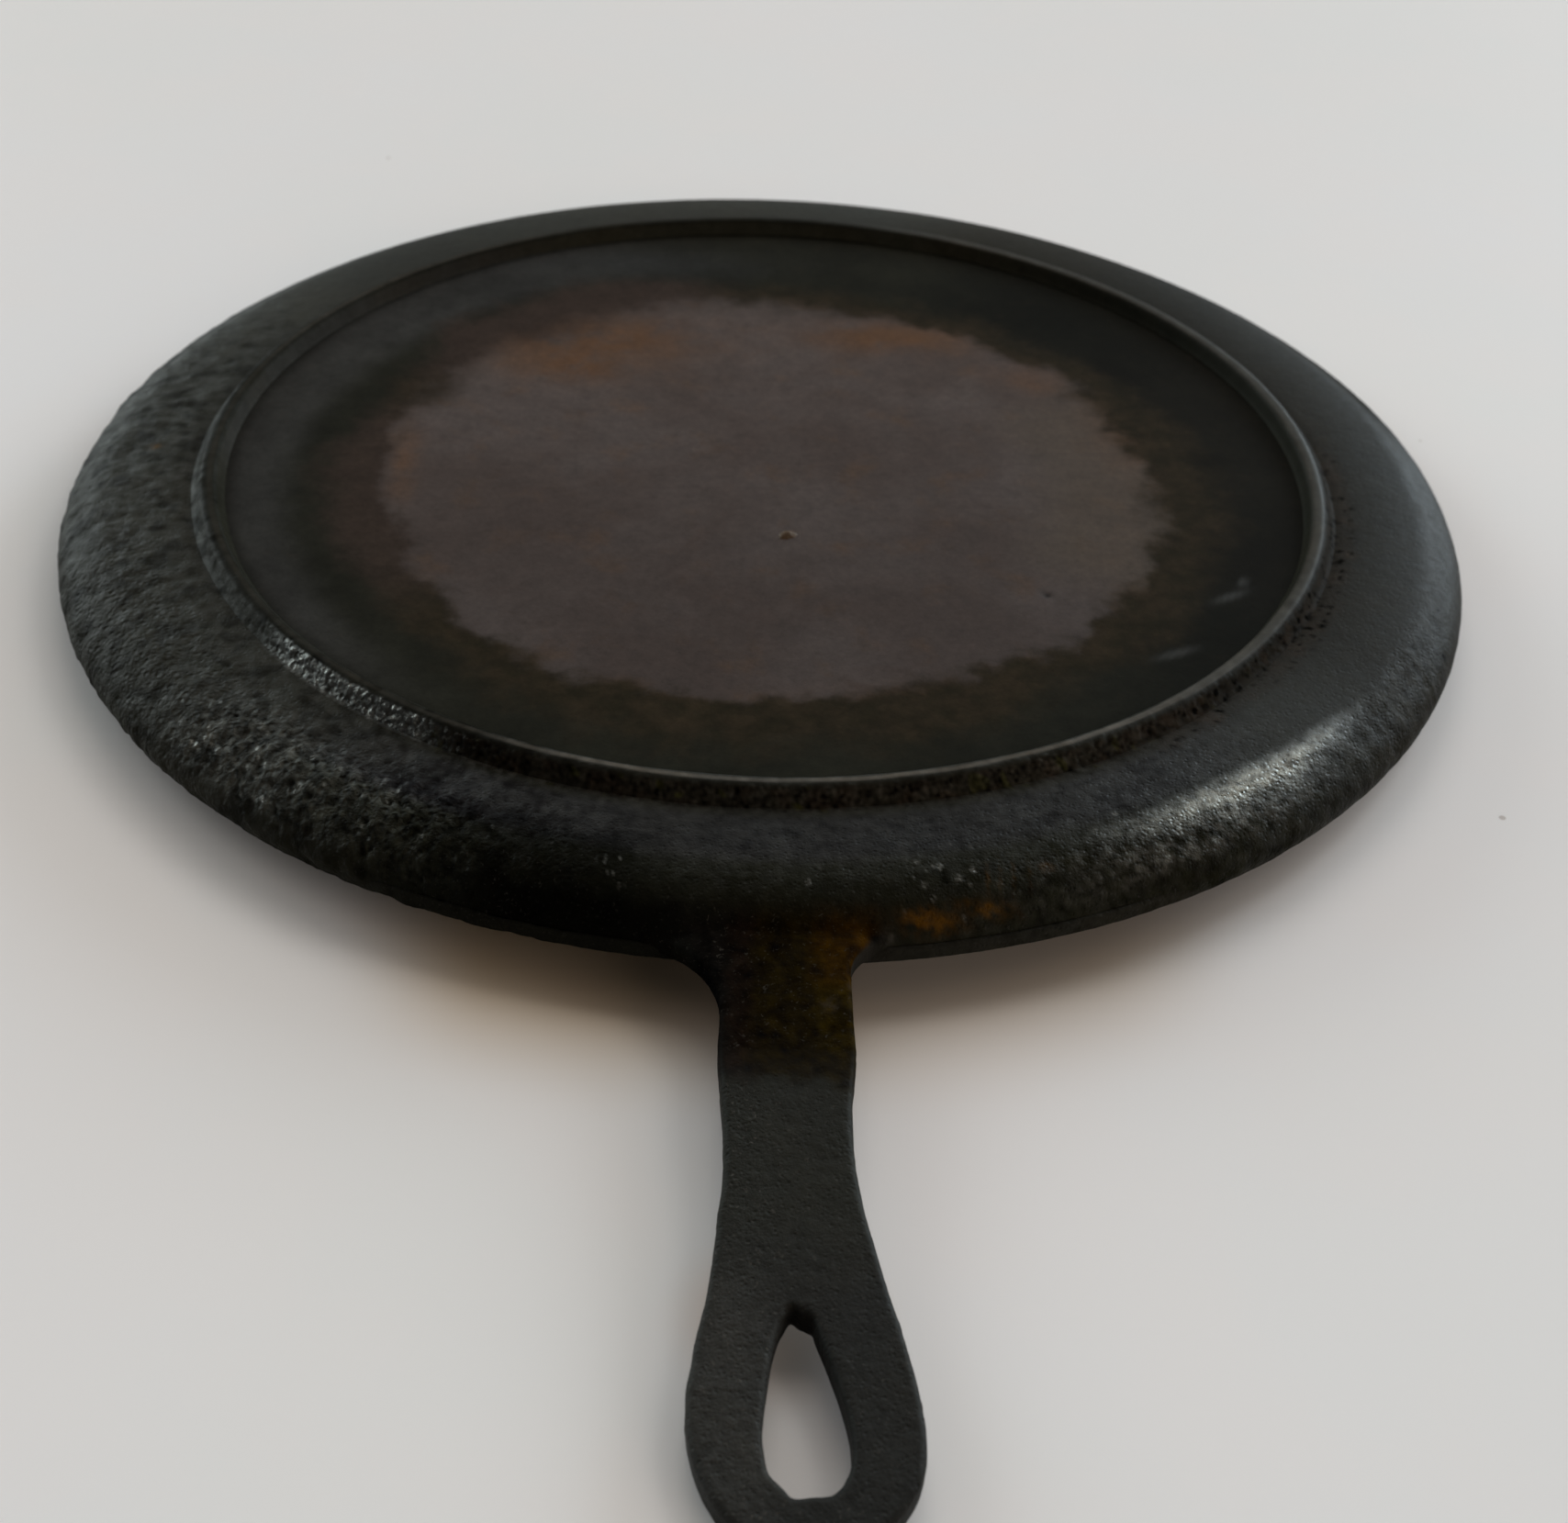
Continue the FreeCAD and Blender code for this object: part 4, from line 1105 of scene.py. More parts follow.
def handle_outline():
    """The closed outline and the number of its points that lie outside the pan, in front."""
    west, west_touch = hollow(-1, WEST_HOLLOW)
    east, east_touch = hollow(1, EAST_HOLLOW)
    west_arc = circle(west, WEST_HOLLOW, np.linspace(west_touch, 0, 40))
    east_arc = circle(east, EAST_HOLLOW, np.linspace(-math.pi, east_touch, 30))
    sides = catmull(np.array(SIDES) * GROW, 8)
    exposed = np.concatenate([west_arc[:-1], [(-HALF_WIDTH, west[1])], sides,
                              [(HALF_WIDTH, east[1] + 1.5)], east_arc])
    exposed = resample(exposed, OUTLINE_STEP)
    # slight unevenness
    flat = with_z(exposed, 0)
    wobble = 0.05 * noise(flat, 6.0, 269) + 0.045 * noise(flat, 2.2, 271)
    wobble *= step(3.0, 8.0, exposed[:, 1])
    exposed = exposed + side_normals(np.gradient(exposed, axis=0)) * wobble[:, None]
    # hidden part: in under the wall's skin from the east, round, and back out to the west
    axis = np.array([0.0, -RIM_R])
    buried = []
    for touch in (exposed[-1], exposed[0]):
        buried.append(axis + (touch - axis) * BURIED_RADIUS / np.linalg.norm(touch - axis))
    first, last = (math.atan2(p[1] + RIM_R, p[0]) for p in buried)
    jog_in = np.linspace(exposed[-1], buried[0], 14)[1:-1]
    jog_out = np.linspace(buried[1], exposed[0], 14)[1:-1]
    under = circle(axis, BURIED_RADIUS, np.linspace(first, last, 60))
    return np.concatenate([exposed, jog_in, under, jog_out]), len(exposed)


def snap_to_cuts(outline, count):
    """Moves the nearest outline point on each side onto each cut; returns their indices."""
    marks = {}
    for cut, side in product(CUTS, (-1, 1)):
        choices = [i for i in range(count)
                   if outline[i][0] * side > 0 and outline[i][1] > 15 * UNIT]
        nearest = min(choices, key=lambda i: abs(outline[i][1] - cut))
        outline[nearest][1] = cut
        marks[(cut, side)] = nearest
    return marks


def grid_points():
    """A staggered, slightly jittered grid over the handle."""
    across = np.arange(-30 * UNIT, 30 * UNIT, GRID_STEP)
    along = np.arange(-12 * UNIT, TIP, GRID_STEP * 0.866)
    grid_x, grid_y = np.meshgrid(across, along)
    grid_x = grid_x + (np.arange(len(along)) % 2)[:, None] * GRID_STEP / 2
    grid = np.stack([grid_x.ravel(), grid_y.ravel()], 1)
    jitter = [noise(with_z(grid, 0), 0.9, 277), noise(with_z(grid, 1), 0.9, 281)]
    return grid + 0.08 * GRID_STEP * np.stack(jitter, 1)


def cut_line(cut, west, east):
    """Points across the handle along a cut, closer at the rounded edges."""
    span = east - west - 2 * EDGE_ROUND
    middle = np.arange(west + EDGE_ROUND, east - EDGE_ROUND + 1e-6, span / round(span / GRID_STEP))
    across = sorted([west + e for e in EDGE_RINGS[:-1]] + [east - e for e in EDGE_RINGS[:-1]]
                    + list(middle))
    return np.stack([np.array(across), np.full(len(across), cut)], 1)


def handle_plan():
    """Triangulates the plan.

    Returns the points, their distance from the visible edge, the triangles, the outline
    and hole as vertex loops, and the vertex chain of each cut.
    """
    outline, count = handle_outline()
    hole = np.array(HOLE) * GROW
    hole = resample(closed(catmull(np.concatenate([hole[-1:], hole, hole[:2]]), 6)),
                    OUTLINE_STEP)[:-1]
    marks = snap_to_cuts(outline, count)

    def edge_distance(points):
        return np.minimum(distance_to(outline[:count], points), distance_to(closed(hole), points))

    scattered = []
    for inset in EDGE_RINGS:
        for loop, end in ((outline, count), (hole, len(hole))):
            tangents = np.roll(loop, -1, 0) - np.roll(loop, 1, 0)
            ring = (loop + side_normals(tangents) * inset)[:end]
            gap = edge_distance(ring)
            keep = (gap > 0.985 * inset) & (gap < 1.02 * inset + 0.01)
            scattered.append(ring[keep & clear_of_cuts(ring, 0.16 * UNIT)])
    grid = grid_points()
    grid = grid[inside(outline, grid) & ~inside(hole, grid)]
    keep = edge_distance(grid) > EDGE_ROUND + 0.45 * GRID_STEP
    keep &= distance_to(outline[count - 1:], grid) > 0.4 * GRID_STEP
    scattered.append(grid[keep & clear_of_cuts(grid, 0.45 * GRID_STEP)])

    coords = np.concatenate([outline, hole, *scattered])
    edges = []
    for start, loop in ((0, outline), (len(outline), hole)):
        size = len(loop)
        edges += [(start + i, start + (i + 1) % size) for i in range(size)]
    chains = {}
    for cut in CUTS:
        west, east = marks[(cut, -1)], marks[(cut, 1)]
        line = cut_line(cut, outline[west][0], outline[east][0])
        chain = [west, *range(len(coords), len(coords) + len(line)), east]
        coords = np.concatenate([coords, line])
        edges += list(zip(chain[:-1], chain[1:]))
        chains[cut] = chain
    result = delaunay_2d_cdt([Vector(c) for c in coords], edges, [], 0, 1e-6, True)
    points = np.array([tuple(c) for c in result[0]])
    tris = np.array([f for f in result[2] if len(f) == 3])
    output_of = {source: i for i, sources in enumerate(result[3]) for source in sources}
    centres = points[tris].mean(1)
    tris = tris[inside(outline, centres) & ~inside(hole, centres)]
    used = np.unique(tris)
    tris = np.searchsorted(used, tris)
    plan = points[used]
    # along runs towards -Y, so the plan is left-handed and its triangles must turn over
    a, b, c = (plan[tris[:, i]] for i in range(3))
    flip = ((b - a)[:, 0] * (c - a)[:, 1] - (b - a)[:, 1] * (c - a)[:, 0]) > 0
    tris[flip] = tris[flip][:, ::-1]

    def vertices(sources):
        return np.searchsorted(used, [output_of[i] for i in sources])

    loops = (vertices(range(len(outline))),
             vertices(range(len(outline), len(outline) + len(hole))))
    chains = {cut: vertices(chain).tolist() for cut, chain in chains.items()}
    return plan, edge_distance(plan), tris, loops, chains


def handle_faces(plan, edge):
    """The top and bottom faces in space."""
    def in_space(height):
        return HANDLE_START + plan[:, :1] * [1, 0, 0] + plan[:, 1:] * ALONG + height[:, None] * FACING

    across, along = plan.T
    inward = np.maximum(EDGE_ROUND - edge, 0)
    drop = EDGE_ROUND - np.sqrt(np.maximum(EDGE_ROUND ** 2 - inward ** 2, 0))
    # towards the hollows the top face sinks to the rim band, so the flare melts into the rim
    west = step(-11.4 * UNIT, -22.0 * UNIT, across)
    east = step(11.4 * UNIT, 17.5 * UNIT, across)
    sink = (2.7 * west + 2.5 * east) * step(10.0 * UNIT, 2.0 * UNIT, along) * UNIT
    top = in_space(-drop - sink)
    low = in_space(-THICK + drop)
    radius = np.hypot(top[:, 0], top[:, 1])
    wall = wall_z(radius)
    wander = wall_skin(np.stack([top[:, 0], top[:, 1], wall], 1))[0]
    skin_z = wall + wander * step(149.6 * UNIT, 148.6 * UNIT, radius) - 0.07
    blend = (2.6 - 1.3 * np.maximum(west, east)) * UNIT
    top[:, 2] = np.where(radius < 152.5 * UNIT, soft_max(top[:, 2], skin_z, blend), top[:, 2])
    radius = np.hypot(low[:, 0], low[:, 1])
    above_cook = np.maximum(low[:, 2], cook_z(radius) + 0.7 * UNIT)
    low[:, 2] = np.where(radius < 149 * UNIT, above_cook, low[:, 2])
    low[:, 2] = np.minimum(low[:, 2], top[:, 2] - 0.25 * UNIT)
    return top, low


def side_faces(top, low, loops):
    """Adds the side rows; returns all vertices, the quads, and the column at each loop vertex."""
    count = len(top)
    verts = [top, low]
    start = 2 * count
    quads, columns = [], {}
    for loop in loops:
        rows = [loop]
        for row in range(1, SIDE_ROWS + 1):
            t = row / (SIDE_ROWS + 1)
            verts.append(top[loop] * (1 - t) + low[loop] * t)
            rows.append(start + np.arange(len(loop)))
            start += len(loop)
        rows.append(loop + count)
        columns.update(zip(loop.tolist(), np.array(rows).T.tolist()))
        for upper, lower in zip(rows[:-1], rows[1:]):
            quads.append(np.stack([lower, np.roll(lower, -1), np.roll(upper, -1), upper], 1))
    return np.concatenate(verts), np.concatenate(quads), columns


def cut_faces(chain, columns, count):
    """Triangles that close a cut; vertex i + count lies below vertex i."""
    faces = []
    for i, (west, east) in enumerate(zip(chain[:-1], chain[1:])):
        if i == 0:
            ring = [east, east + count] + columns[west][::-1]
        elif i == len(chain) - 2:
            ring = [west] + columns[east] + [west + count]
        else:
            ring = [west, east, east + count, west + count]
        faces += [(ring[0], ring[s], ring[s + 1]) for s in range(1, len(ring) - 1)]
    return np.array(faces)


def build_handle():
    plan, edge, tris, loops, chains = handle_plan()
    top, low = handle_faces(plan, edge)
    verts, quads, columns = side_faces(top, low, loops)
    count = len(plan)
    tris = np.concatenate([tris, tris[:, ::-1] + count])
    height, fine = handle_skin(verts)
    shown = step(149.0 * UNIT, 150.5 * UNIT, np.hypot(verts[:, 0], verts[:, 1]))
    verts = verts + vertex_normals(verts, quads, tris) * (height * shown)[:, None]
    normals = vertex_normals(verts, quads, tris)

    def between(faces, start, end):
        along = (verts[faces].mean(1) - HANDLE_START) @ ALONG
        return faces[(along > start) & (along <= end)]

    pieces = []
    for name, start, end, part in (("handle_root_flare", -99, ROOT_END, "root"),
                                   ("handle_neck_shank", ROOT_END, NECK_END, "neck"),
                                   ("handle_eye_loop", NECK_END, 999, "eye")):
        piece_quads = between(quads, start, end)
        piece_tris = [between(tris, start, end)]
        for cut, facing in ((start, -1), (end, 1)):
            if cut in chains:
                cap = cut_faces(chains[cut], columns, count)
                a, b, c = (verts[cap[:, i]] for i in range(3))
                if np.dot(np.cross(b - a, c - a).sum(0), ALONG) * facing < 0:
                    cap = cap[:, ::-1]
                piece_tris.append(cap)
        piece_tris = np.concatenate(piece_tris)
        ids = np.unique(np.concatenate([piece_quads.ravel(), piece_tris.ravel()]))
        pieces.append(make_mesh(
            name, verts[ids], np.searchsorted(ids, piece_quads), np.searchsorted(ids, piece_tris),
            finish_of(verts[ids], fine[ids], part), normals[ids]))
    return pieces


# ================================================================ the pieces
wall = build_wall()
rim = build_rim()
ring = build_ring()
plate = build_plate()
nub = build_nub()
root, neck, eye = build_handle()
add_base_masks(plate)
add_base_masks(nub)

PIECES = [  # object, frame node, slot, material
    (wall, "side_wall", "seasoned_wall", "seasoned_wall_iron"),
    (rim, "rim_band", "seasoned_wall", "seasoned_wall_iron"),
    (ring, "heat_ring", "ring_iron", "ring_iron_worn"),
    (plate, "base_plate", "worn_base", "worn_base_iron"),
    (nub, "casting_nub", "worn_base", "nub_iron"),
    (root, "handle_root", "stained_root", "stained_root_iron"),
    (neck, "handle_neck", "handle_iron", "handle_sand_iron"),
    (eye, "handle_eye", "handle_iron", "handle_sand_iron"),
]
for ob, node, slot_name, _ in PIECES:
    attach(ob, "root")
    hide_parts(node)


# ================================================================ shader building
class Wire:
    """A node's output; +, - and * on it add math nodes."""

    def __init__(self, shader, socket):
        self.shader, self.socket = shader, socket

    def __add__(self, other):
        return self.shader.math("ADD", self, other)

    def __sub__(self, other):
        return self.shader.math("SUBTRACT", self, other)

    def __mul__(self, other):
        return self.shader.math("MULTIPLY", self, other)

    def output(self, name):
        """Another output of the same node."""
        return Wire(self.shader, self.socket.node.outputs[name])


class Shader:
    """The emptied node tree of a material or world."""

    def __init__(self, owner):
        owner.use_nodes = True
        self.tree = owner.node_tree
        self.tree.nodes.clear()

    def node(self, kind, inputs=None, output=0, **settings):
        made = self.tree.nodes.new("ShaderNode" + kind)
        for key, value in settings.items():
            setattr(made, key, value)
        for key, value in (inputs or {}).items():
            socket = made.inputs[key]
            if isinstance(value, Wire):
                self.tree.links.new(value.socket, socket)
            elif isinstance(value, tuple) and socket.type == "RGBA":
                socket.default_value = (*value, 1.0)
            else:
                socket.default_value = value
        return Wire(self, made.outputs[output]) if made.outputs else None

    def position(self):
        return self.node("NewGeometry", output="Position")

    def mask(self, name, output="Fac"):
        return self.node("Attribute", output=output, attribute_name=name)

    def math(self, operation, *values):
        return self.node("Math", dict(enumerate(values)), operation=operation)

    def vector(self, operation, *values, output="Vector"):
        return self.node("VectorMath", dict(enumerate(values)), output, operation=operation)

    def scale(self, colour, amount):
        return self.node("VectorMath", {0: colour, "Scale": amount}, operation="SCALE")

    def noise(self, vector, scale, detail=3.0, rough=0.55, distortion=0.0):
        return self.node("TexNoise", {"Vector": vector, "Scale": scale, "Detail": detail,
                                      "Roughness": rough, "Distortion": distortion}, "Fac")

    def voronoi(self, vector, scale):
        return self.node("TexVoronoi", {"Vector": vector, "Scale": scale}, "Distance")

    def ramp(self, value, over, to=(0.0, 1.0)):
        """Smooth passage from to[0] at over[0] to to[1] at over[1]."""
        return self.node("MapRange", {
            "Value": value, "From Min": over[0], "From Max": over[1],
            "To Min": to[0], "To Max": to[1]}, "Result", interpolation_type="SMOOTHSTEP")

    def mix(self, amount, first, second, blend="MIX"):
        return self.node("Mix", {0: amount, 6: first, 7: second}, 2,
                         data_type="RGBA", blend_type=blend)

    def bump(self, height, strength, distance, **inputs):
        return self.node("Bump", {"Height": height, "Strength": strength,
                                  "Distance": distance, **inputs})

    def surface(self, inputs):
        self.node("OutputMaterial", {0: self.node("BsdfPrincipled", inputs)})


def give(ob, material):
    ob.data.materials.clear()
    ob.data.materials.append(material)


# ================================================================ iron
BUMP_AMOUNT = {"handle": 1.25, "wall": 1.7, "ring": 0.9, "plate": 0.45}
SPECK_HANDLE = (0.054, 0.050, 0.043)
SPECK_WALL = (0.046, 0.046, 0.042)
PLATE_GAIN = 1.0                # overall brightness of the base
BASE_COLOUR = {
    "brown spots": (0.020, 0.0145, 0.0105),
    "fringe dark": (0.0135, 0.0112, 0.0062),
    "fringe light": (0.0250, 0.0180, 0.0105),
    "fringe left": (0.0330, 0.0230, 0.0190),
    "metal mauve": (0.0400, 0.0300, 0.0265),
    "metal grey": (0.0520, 0.0425, 0.0395),
    "metal brown": (0.060, 0.036, 0.021),
    "metal dark": (0.026, 0.0195, 0.017),
    "tan": (0.056, 0.040, 0.0265),
    "orange": (0.078, 0.037, 0.0165),
    "painted_haze": (0.026, 0.027, 0.027),
}


def seasoned_colour(shader, pos, tint, vary, grain, style):
    """The mesh's tint, broken up by grain, with a warm drift and pale specks."""
    colour = shader.scale(tint, vary)
    drift = shader.ramp(shader.noise(pos, scale=48.0), over=(0.35, 0.70), to=(0.0, 0.30))
    colour = shader.mix(drift, colour, shader.mix(1.0, colour, (1.18, 1.0, 0.80), "MULTIPLY"))
    if style == "ring":
        return colour
    spots = shader.noise(pos, scale=1500.0, detail=2.0, rough=0.6, distortion=0.4)
    crowd = shader.noise(pos, scale=330.0, detail=2.0, rough=0.5)
    speck = (shader.ramp(spots, over=(0.60, 0.72))
             * shader.ramp(crowd, over=(0.35, 0.65), to=(0.3, 1.0)))
    if style == "handle":
        share = shader.ramp(grain, over=(0.45, 1.6), to=(0.10, 0.95))
        return shader.mix(speck * share, colour, SPECK_HANDLE)
    return shader.mix(speck * (grain * 0.26), colour, SPECK_WALL)


def worn_metal(shader, flat):
    """The bare patch: grey, mauve and brown clouds with streaks."""
    cloud = shader.noise(flat, scale=26.0, detail=4.0, distortion=0.6)
    patches = shader.noise(flat, scale=75.0, detail=4.0, rough=0.6)
    flecks = shader.noise(flat, scale=210.0, rough=0.6)
    metal = shader.mix(shader.ramp(cloud, over=(0.34, 0.66)),
                       BASE_COLOUR["metal mauve"], BASE_COLOUR["metal grey"])
    metal = shader.mix(shader.ramp(patches, over=(0.52, 0.74)) * 0.55, metal,
                       BASE_COLOUR["metal brown"])
    metal = shader.mix(shader.ramp(flecks, over=(0.55, 0.75)) * 0.35, metal,
                       BASE_COLOUR["metal dark"])
    metal = shader.scale(metal, shader.ramp(shader.mask("farness"), over=(-1.0, 1.0),
                                            to=(0.90, 1.25)))
    metal = shader.mix(0.30, metal, shader.mix(1.0, metal, (1.15, 0.95, 0.90), "MULTIPLY"))
    metal = shader.mix(shader.mask("tan") * 0.55, metal, BASE_COLOUR["tan"])
    orange = shader.mask("orange") * shader.ramp(patches, over=(0.26, 0.56))
    return shader.mix(orange, metal, BASE_COLOUR["orange"])


def base_look(shader, pos, tint, vary, coarse):
    """Colour, roughness and gloss of the base, with its ragged worn patch."""
    flat = shader.vector("MULTIPLY", pos, (1.0, 1.0, 0.0))
    ragged = ((shader.noise(flat, scale=230.0, detail=4.0, rough=0.6) - 0.5) * 7.0
              + (shader.noise(flat, scale=70.0, rough=0.6) - 0.5) * 6.0)
    depth = shader.mask("patch") + ragged
    in_patch = shader.ramp(depth * shader.mask("crisp"), over=(-2.5, 4.0))
    fringe = shader.ramp(depth + shader.mask("spread"), over=(-15.0, -3.0))
    # outside: black and dark olive
    hazy = shader.noise(flat, scale=34.0)
    black = shader.scale(tint, shader.ramp(hazy, over=(0.3, 0.7), to=(0.85, 1.2)))
    black = shader.mix(shader.ramp(coarse, over=(0.58, 0.78)) * 0.22, black,
                       BASE_COLOUR["brown spots"])
    # fringe: baked brown and rust
    baked = shader.noise(flat, scale=150.0, detail=5.0, rough=0.62)
    brown = shader.mix(shader.ramp(baked, over=(0.32, 0.72)),
                       BASE_COLOUR["fringe dark"], BASE_COLOUR["fringe light"])
    brown = shader.mix(shader.mask("leftside"), brown, BASE_COLOUR["fringe left"])
    colour = shader.mix(fringe, black, brown)
    colour = shader.mix(in_patch, colour, worn_metal(shader, flat))
    colour = shader.mix(shader.mask("painted_haze"), colour, BASE_COLOUR["painted_haze"])
    colour = shader.scale(shader.scale(colour, PLATE_GAIN), vary)
    # painted shade darkening the base in its deepest dent
    relief_shade = shader.ramp(shader.mask("relief_shade"), over=(-0.9, -0.1), to=(0.35, 1.0))
    colour = shader.scale(colour, relief_shade)
    wet = shader.mask("wet")
    rough = shader.ramp(in_patch, over=(0.0, 1.0), to=(0.50, 0.60)) + (coarse - 0.5) * 0.22
    gloss = shader.ramp(in_patch, over=(0.0, 1.0), to=(0.010, 0.05)) + wet * 0.06
    return colour, rough - wet * 0.10, gloss


def iron(name, style):
    """Seasoned cast iron: the mesh's own masks, broken up by grain at three scales."""
    material = bpy.data.materials.new(name)
    shader = Shader(material)
    pos = shader.position()
    coarse = shader.noise(pos, scale=160.0, detail=4.0, rough=0.6)      # about 6 mm
    mid = shader.noise(pos, scale=620.0, rough=0.6)                     # about 1.6 mm
    fine = shader.noise(pos, scale=1900.0, detail=2.0, rough=0.6)       # about 0.5 mm
    tint = shader.mask("tint", "Color")
    grain = shader.mask("grain")
    vary = (coarse - 0.5) * 0.7 + (mid - 0.5) * 0.55 + (fine - 0.5) * 0.45 + 1.0
    if style == "plate":
        colour, rough, gloss = base_look(shader, pos, tint, vary, coarse)
    else:
        colour = seasoned_colour(shader, pos, tint, vary, grain, style)
        rough = shader.mask("rough") + (mid - 0.5) * 0.26
        gloss = shader.mask("gloss")
    pit = shader.ramp(shader.voronoi(pos, scale=900.0), over=(0.05, 0.42), to=(-1.0, 0.0))
    height = (pit * 0.5 + (mid - 0.5) * 1.2 + (fine - 0.5) * 0.7) * grain
    normal = shader.bump(height, strength=0.55 * BUMP_AMOUNT[style], distance=0.00018)
    if style in ("wall", "ring"):
        # coarse pitting where the mesh asks for it
        pocks = shader.voronoi(pos, scale=620.0)
        crater = shader.ramp(pocks, over=(0.0, 0.55), to=(-1.0, 0.0))
        crumb = shader.noise(pos, scale=1100.0, detail=2.0, rough=0.6)
        pitting = (crater + crumb * 1.1) * shader.mask("pitted")
        normal = shader.bump(pitting, strength=1.0, distance=0.00050, Normal=normal)
    shader.surface({
        "Base Color": colour, "Roughness": shader.math("MAXIMUM", rough, 0.12),
        "Specular IOR Level": gloss, "Specular Tint": (0.98, 1.0, 0.88), "Normal": normal})
    return material


IRONS = {name: iron(name, style) for name, style in (
    ("seasoned_wall_iron", "wall"), ("ring_iron_worn", "ring"), ("worn_base_iron", "plate"),
    ("stained_root_iron", "handle"), ("handle_sand_iron", "handle"), ("nub_iron", "handle"))}
for ob, _, _, material_name in PIECES:
    give(ob, IRONS[material_name])
for node in frame["nodes"].values():
    give(node, IRONS["seasoned_wall_iron"])


# ================================================================ floor
TILT = 0.02616              # slope of the floor, which touches the handle's tip
FLOOR_HALF = 9000.0         # mm
FLOOR_POINTS = 60           # per side, closer together in the middle
FLOOR_COLOUR = {
    "cool": (0.790, 0.785, 0.780),
    "plain": (0.800, 0.790, 0.795),
    "pink": (0.810, 0.786, 0.780),
    "dust": (0.34, 0.28, 0.24),
    "painted warm shadow": (0.58, 0.47, 0.34),
    "painted eye shadow": (0.72, 0.54, 0.42),
}


def floor_material():
    material = bpy.data.materials.new("pale_floor")
    shader = Shader(material)
    pos = shader.position()
    slow = shader.noise(pos, scale=5.0, detail=2.0, rough=0.5)
    mid = shader.noise(pos, scale=22.0, rough=0.5)
    colour = shader.mix(shader.ramp(slow, over=(0.35, 0.65)),
                        FLOOR_COLOUR["cool"], FLOOR_COLOUR["plain"])
    colour = shader.mix(shader.ramp(mid, over=(0.40, 0.62), to=(0.0, 0.5)), colour,
                        FLOOR_COLOUR["pink"])
    # scattered dust
    dust = shader.voronoi(pos, scale=42.0)
    dot = shader.ramp(dust, over=(0.022, 0.034), to=(1.0, 0.0))
    chosen = shader.ramp(dust.output("Color"), over=(0.70, 0.72))
    colour = shader.mix(dot * chosen * 0.6, colour, FLOOR_COLOUR["dust"])
    # a painted warm shadow close to the pan, on the near side
    reach = shader.vector("LENGTH", pos, output="Value")
    x = shader.node("SeparateXYZ", {0: pos}, "X")
    warm = (shader.ramp(reach, over=(0.148, 0.182), to=(1.0, 0.0))
            * shader.ramp(x.output("Y"), over=(-0.120, -0.040), to=(1.0, 0.0)))
    warm = warm * shader.ramp(x, over=(-0.030, 0.020), to=(1.0, 0.5))
    warm = warm * (shader.ramp(x, over=(-0.082, -0.050))
                   * shader.ramp(x, over=(0.055, 0.085), to=(1.0, 0.0)))
    colour = shader.mix(warm, colour, FLOOR_COLOUR["painted warm shadow"])
    # and a painted warm shadow under the handle, at the top of its eye
    away = shader.vector("DISTANCE", pos, (-0.002, -0.218, -0.008), output="Value")
    colour = shader.mix(shader.ramp(away, over=(0.004, 0.020), to=(0.7, 0.0)), colour,
                        FLOOR_COLOUR["painted eye shadow"])
    shader.surface({"Base Color": colour, "Roughness": 0.55, "Specular IOR Level": 0.12})
    return material


def build_floor():
    t = np.linspace(-1, 1, FLOOR_POINTS)
    x, y = np.meshgrid(*[np.sign(t) * np.abs(t) ** 2.2 * FLOOR_HALF] * 2)
    z = eye_low[2] - 0.12 + TILT * (y - (eye_low[1] + 1.0))
    verts = np.stack([x.ravel(), y.ravel(), z.ravel()], 1)
    index = np.arange(FLOOR_POINTS ** 2).reshape(FLOOR_POINTS, FLOOR_POINTS)
    quads = np.stack([index[:-1, :-1], index[:-1, 1:], index[1:, 1:], index[1:, :-1]], -1)
    ob = make_mesh("floor_sweep", verts, quads.reshape(-1, 4))
    give(ob, floor_material())


build_floor()


# ================================================================ light: a soft studio dome
BACKDROP = (0.612, 0.604, 0.604)        # what the camera sees
DOME = [  # sine of the elevation, colour
    (-1.0, (0.05, 0.045, 0.04)), (-0.02, (0.05, 0.045, 0.04)), (0.20, (0.04, 0.04, 0.04)),
    (0.60, (0.03, 0.03, 0.03)), (1.0, (0.03, 0.03, 0.03)),
]
LOBES = [  # azimuth from +Y towards +X, elevation, inner and outer radius (degrees), colour, strength
    (45.0, 8.0, 4.0, 30.0, (0.76, 0.92, 1.0), 4.06),
    (135.0, 8.0, 4.0, 30.0, (1.0, 0.84, 0.72), 2.65),
    (180.0, 8.0, 4.0, 30.0, (1.0, 0.88, 0.72), 0.28),
    (315.0, 8.0, 4.0, 30.0, (0.86, 0.98, 1.0), 6.71),
    (22.5, 33.0, 4.0, 30.0, (0.82, 0.92, 1.0), 0.66),
    (67.5, 33.0, 4.0, 30.0, (1.0, 0.80, 0.62), 1.04),
    (292.5, 33.0, 4.0, 30.0, (1.0, 0.86, 0.78), 0.66),
    (120.0, 60.0, 4.0, 32.0, (1.0, 0.78, 0.55), 0.13),
    (45.0, 47.0, 5.0, 12.0, (1.0, 0.99, 0.96), 4.4),
    (-44.0, 54.0, 6.0, 20.0, (1.0, 0.90, 0.84), 0.38),
    (44.0, 12.0, 5.0, 20.0, (0.78, 0.90, 1.0), 9.07),
    (0.0, 46.0, 6.0, 22.0, (1.0, 0.94, 0.88), 2.74),
]


def direction(azimuth, elevation):
    a, e = math.radians(azimuth), math.radians(elevation)
    return (math.sin(a) * math.cos(e), math.cos(a) * math.cos(e), math.sin(e))


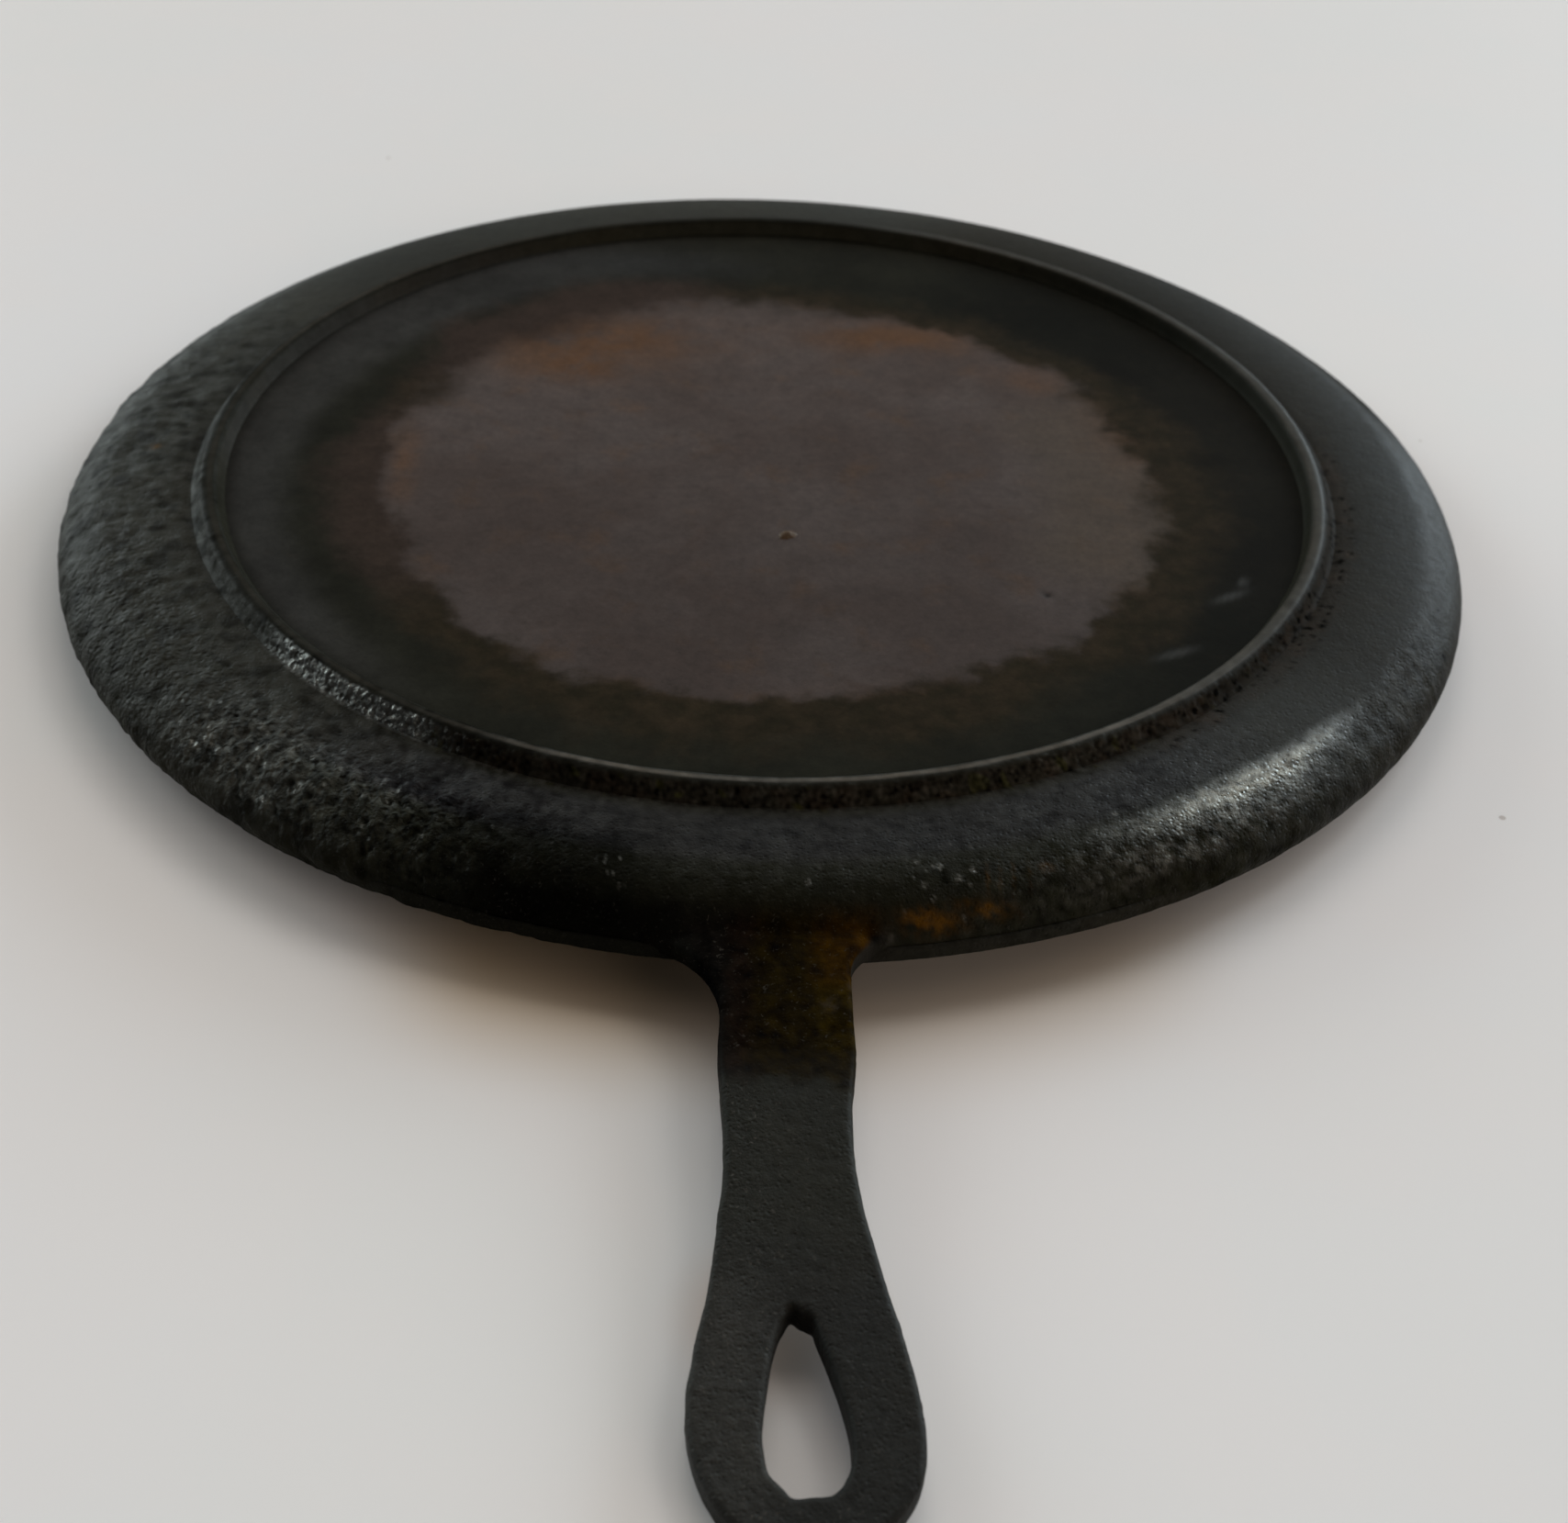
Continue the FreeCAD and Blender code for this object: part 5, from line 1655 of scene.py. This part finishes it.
def build_world():
    world = bpy.data.worlds.new("studio_dome")
    scene.world = world
    shader = Shader(world)
    view = shader.vector("NORMALIZE", shader.node("TexCoord", output="Generated"))
    rise = shader.node("SeparateXYZ", {0: view}, "Z")
    total = shader.node("ValToRGB", {0: shader.math("MULTIPLY_ADD", rise, 0.5, 0.5)}, "Color")
    stops = total.socket.node.color_ramp.elements
    while len(stops) > 1:
        stops.remove(stops[-1])
    for i, (sine, colour) in enumerate(DOME):
        stop = stops.new((sine + 1) / 2) if i else stops[0]
        stop.position = (sine + 1) / 2
        stop.color = (*colour, 1)
    for azimuth, elevation, inner, outer, colour, strength in LOBES:
        facing = shader.vector("DOT_PRODUCT", view, direction(azimuth, elevation), output="Value")
        edges = (math.cos(math.radians(outer)), math.cos(math.radians(inner)))
        amount = shader.ramp(facing, over=edges, to=(0.0, strength))
        lamp = shader.node("RGB")
        lamp.socket.default_value = (*colour, 1)
        total = shader.vector("ADD", total, shader.scale(lamp, amount))
    light = shader.node("Background", {"Color": total})
    backdrop = shader.node("Background", {"Color": BACKDROP})
    seen = shader.node("LightPath", output="Is Camera Ray")
    shader.node("OutputWorld", {0: shader.node("MixShader", {0: seen, 1: light, 2: backdrop})})


build_world()


# ================================================================ camera
CAMERA_PLACE = Vector((-0.01787602, -0.45291203, 0.27196318)) * UNIT     # metres
CAMERA_RIGHT = Vector((0.99899128, -0.02715649, 0.0357624))
CAMERA_UP = Vector((-0.01220804, 0.60216388, 0.79827917))
CAMERA_FORWARD = Vector((0.04321329, 0.79791051, -0.60122494))
LENS = 54.798829            # mm, on a 36 mm sensor


def build_camera():
    camera = bpy.data.cameras.new("camera")
    ob = bpy.data.objects.new("camera", camera)
    scene.collection.objects.link(ob)
    pose = Matrix((CAMERA_RIGHT, CAMERA_UP, -CAMERA_FORWARD)).transposed().to_4x4()
    pose.translation = CAMERA_PLACE
    ob.matrix_world = pose
    camera.sensor_fit = "HORIZONTAL"
    camera.sensor_width = 36.0
    camera.lens = LENS
    camera.clip_start = 0.01
    camera.clip_end = 60.0
    focus = bpy.data.objects.new("focus_point", None)
    focus.location = (0.0, -0.158 * UNIT, 0.004)
    scene.collection.objects.link(focus)
    camera.dof.use_dof = True
    camera.dof.focus_object = focus
    camera.dof.aperture_fstop = 26.0
    scene.camera = ob


build_camera()
scene.view_settings.view_transform = "Standard"
scene.view_settings.look = "None"
scene.view_settings.exposure = 0.0
scene.view_settings.gamma = 1.0

bpy.context.view_layer.update()
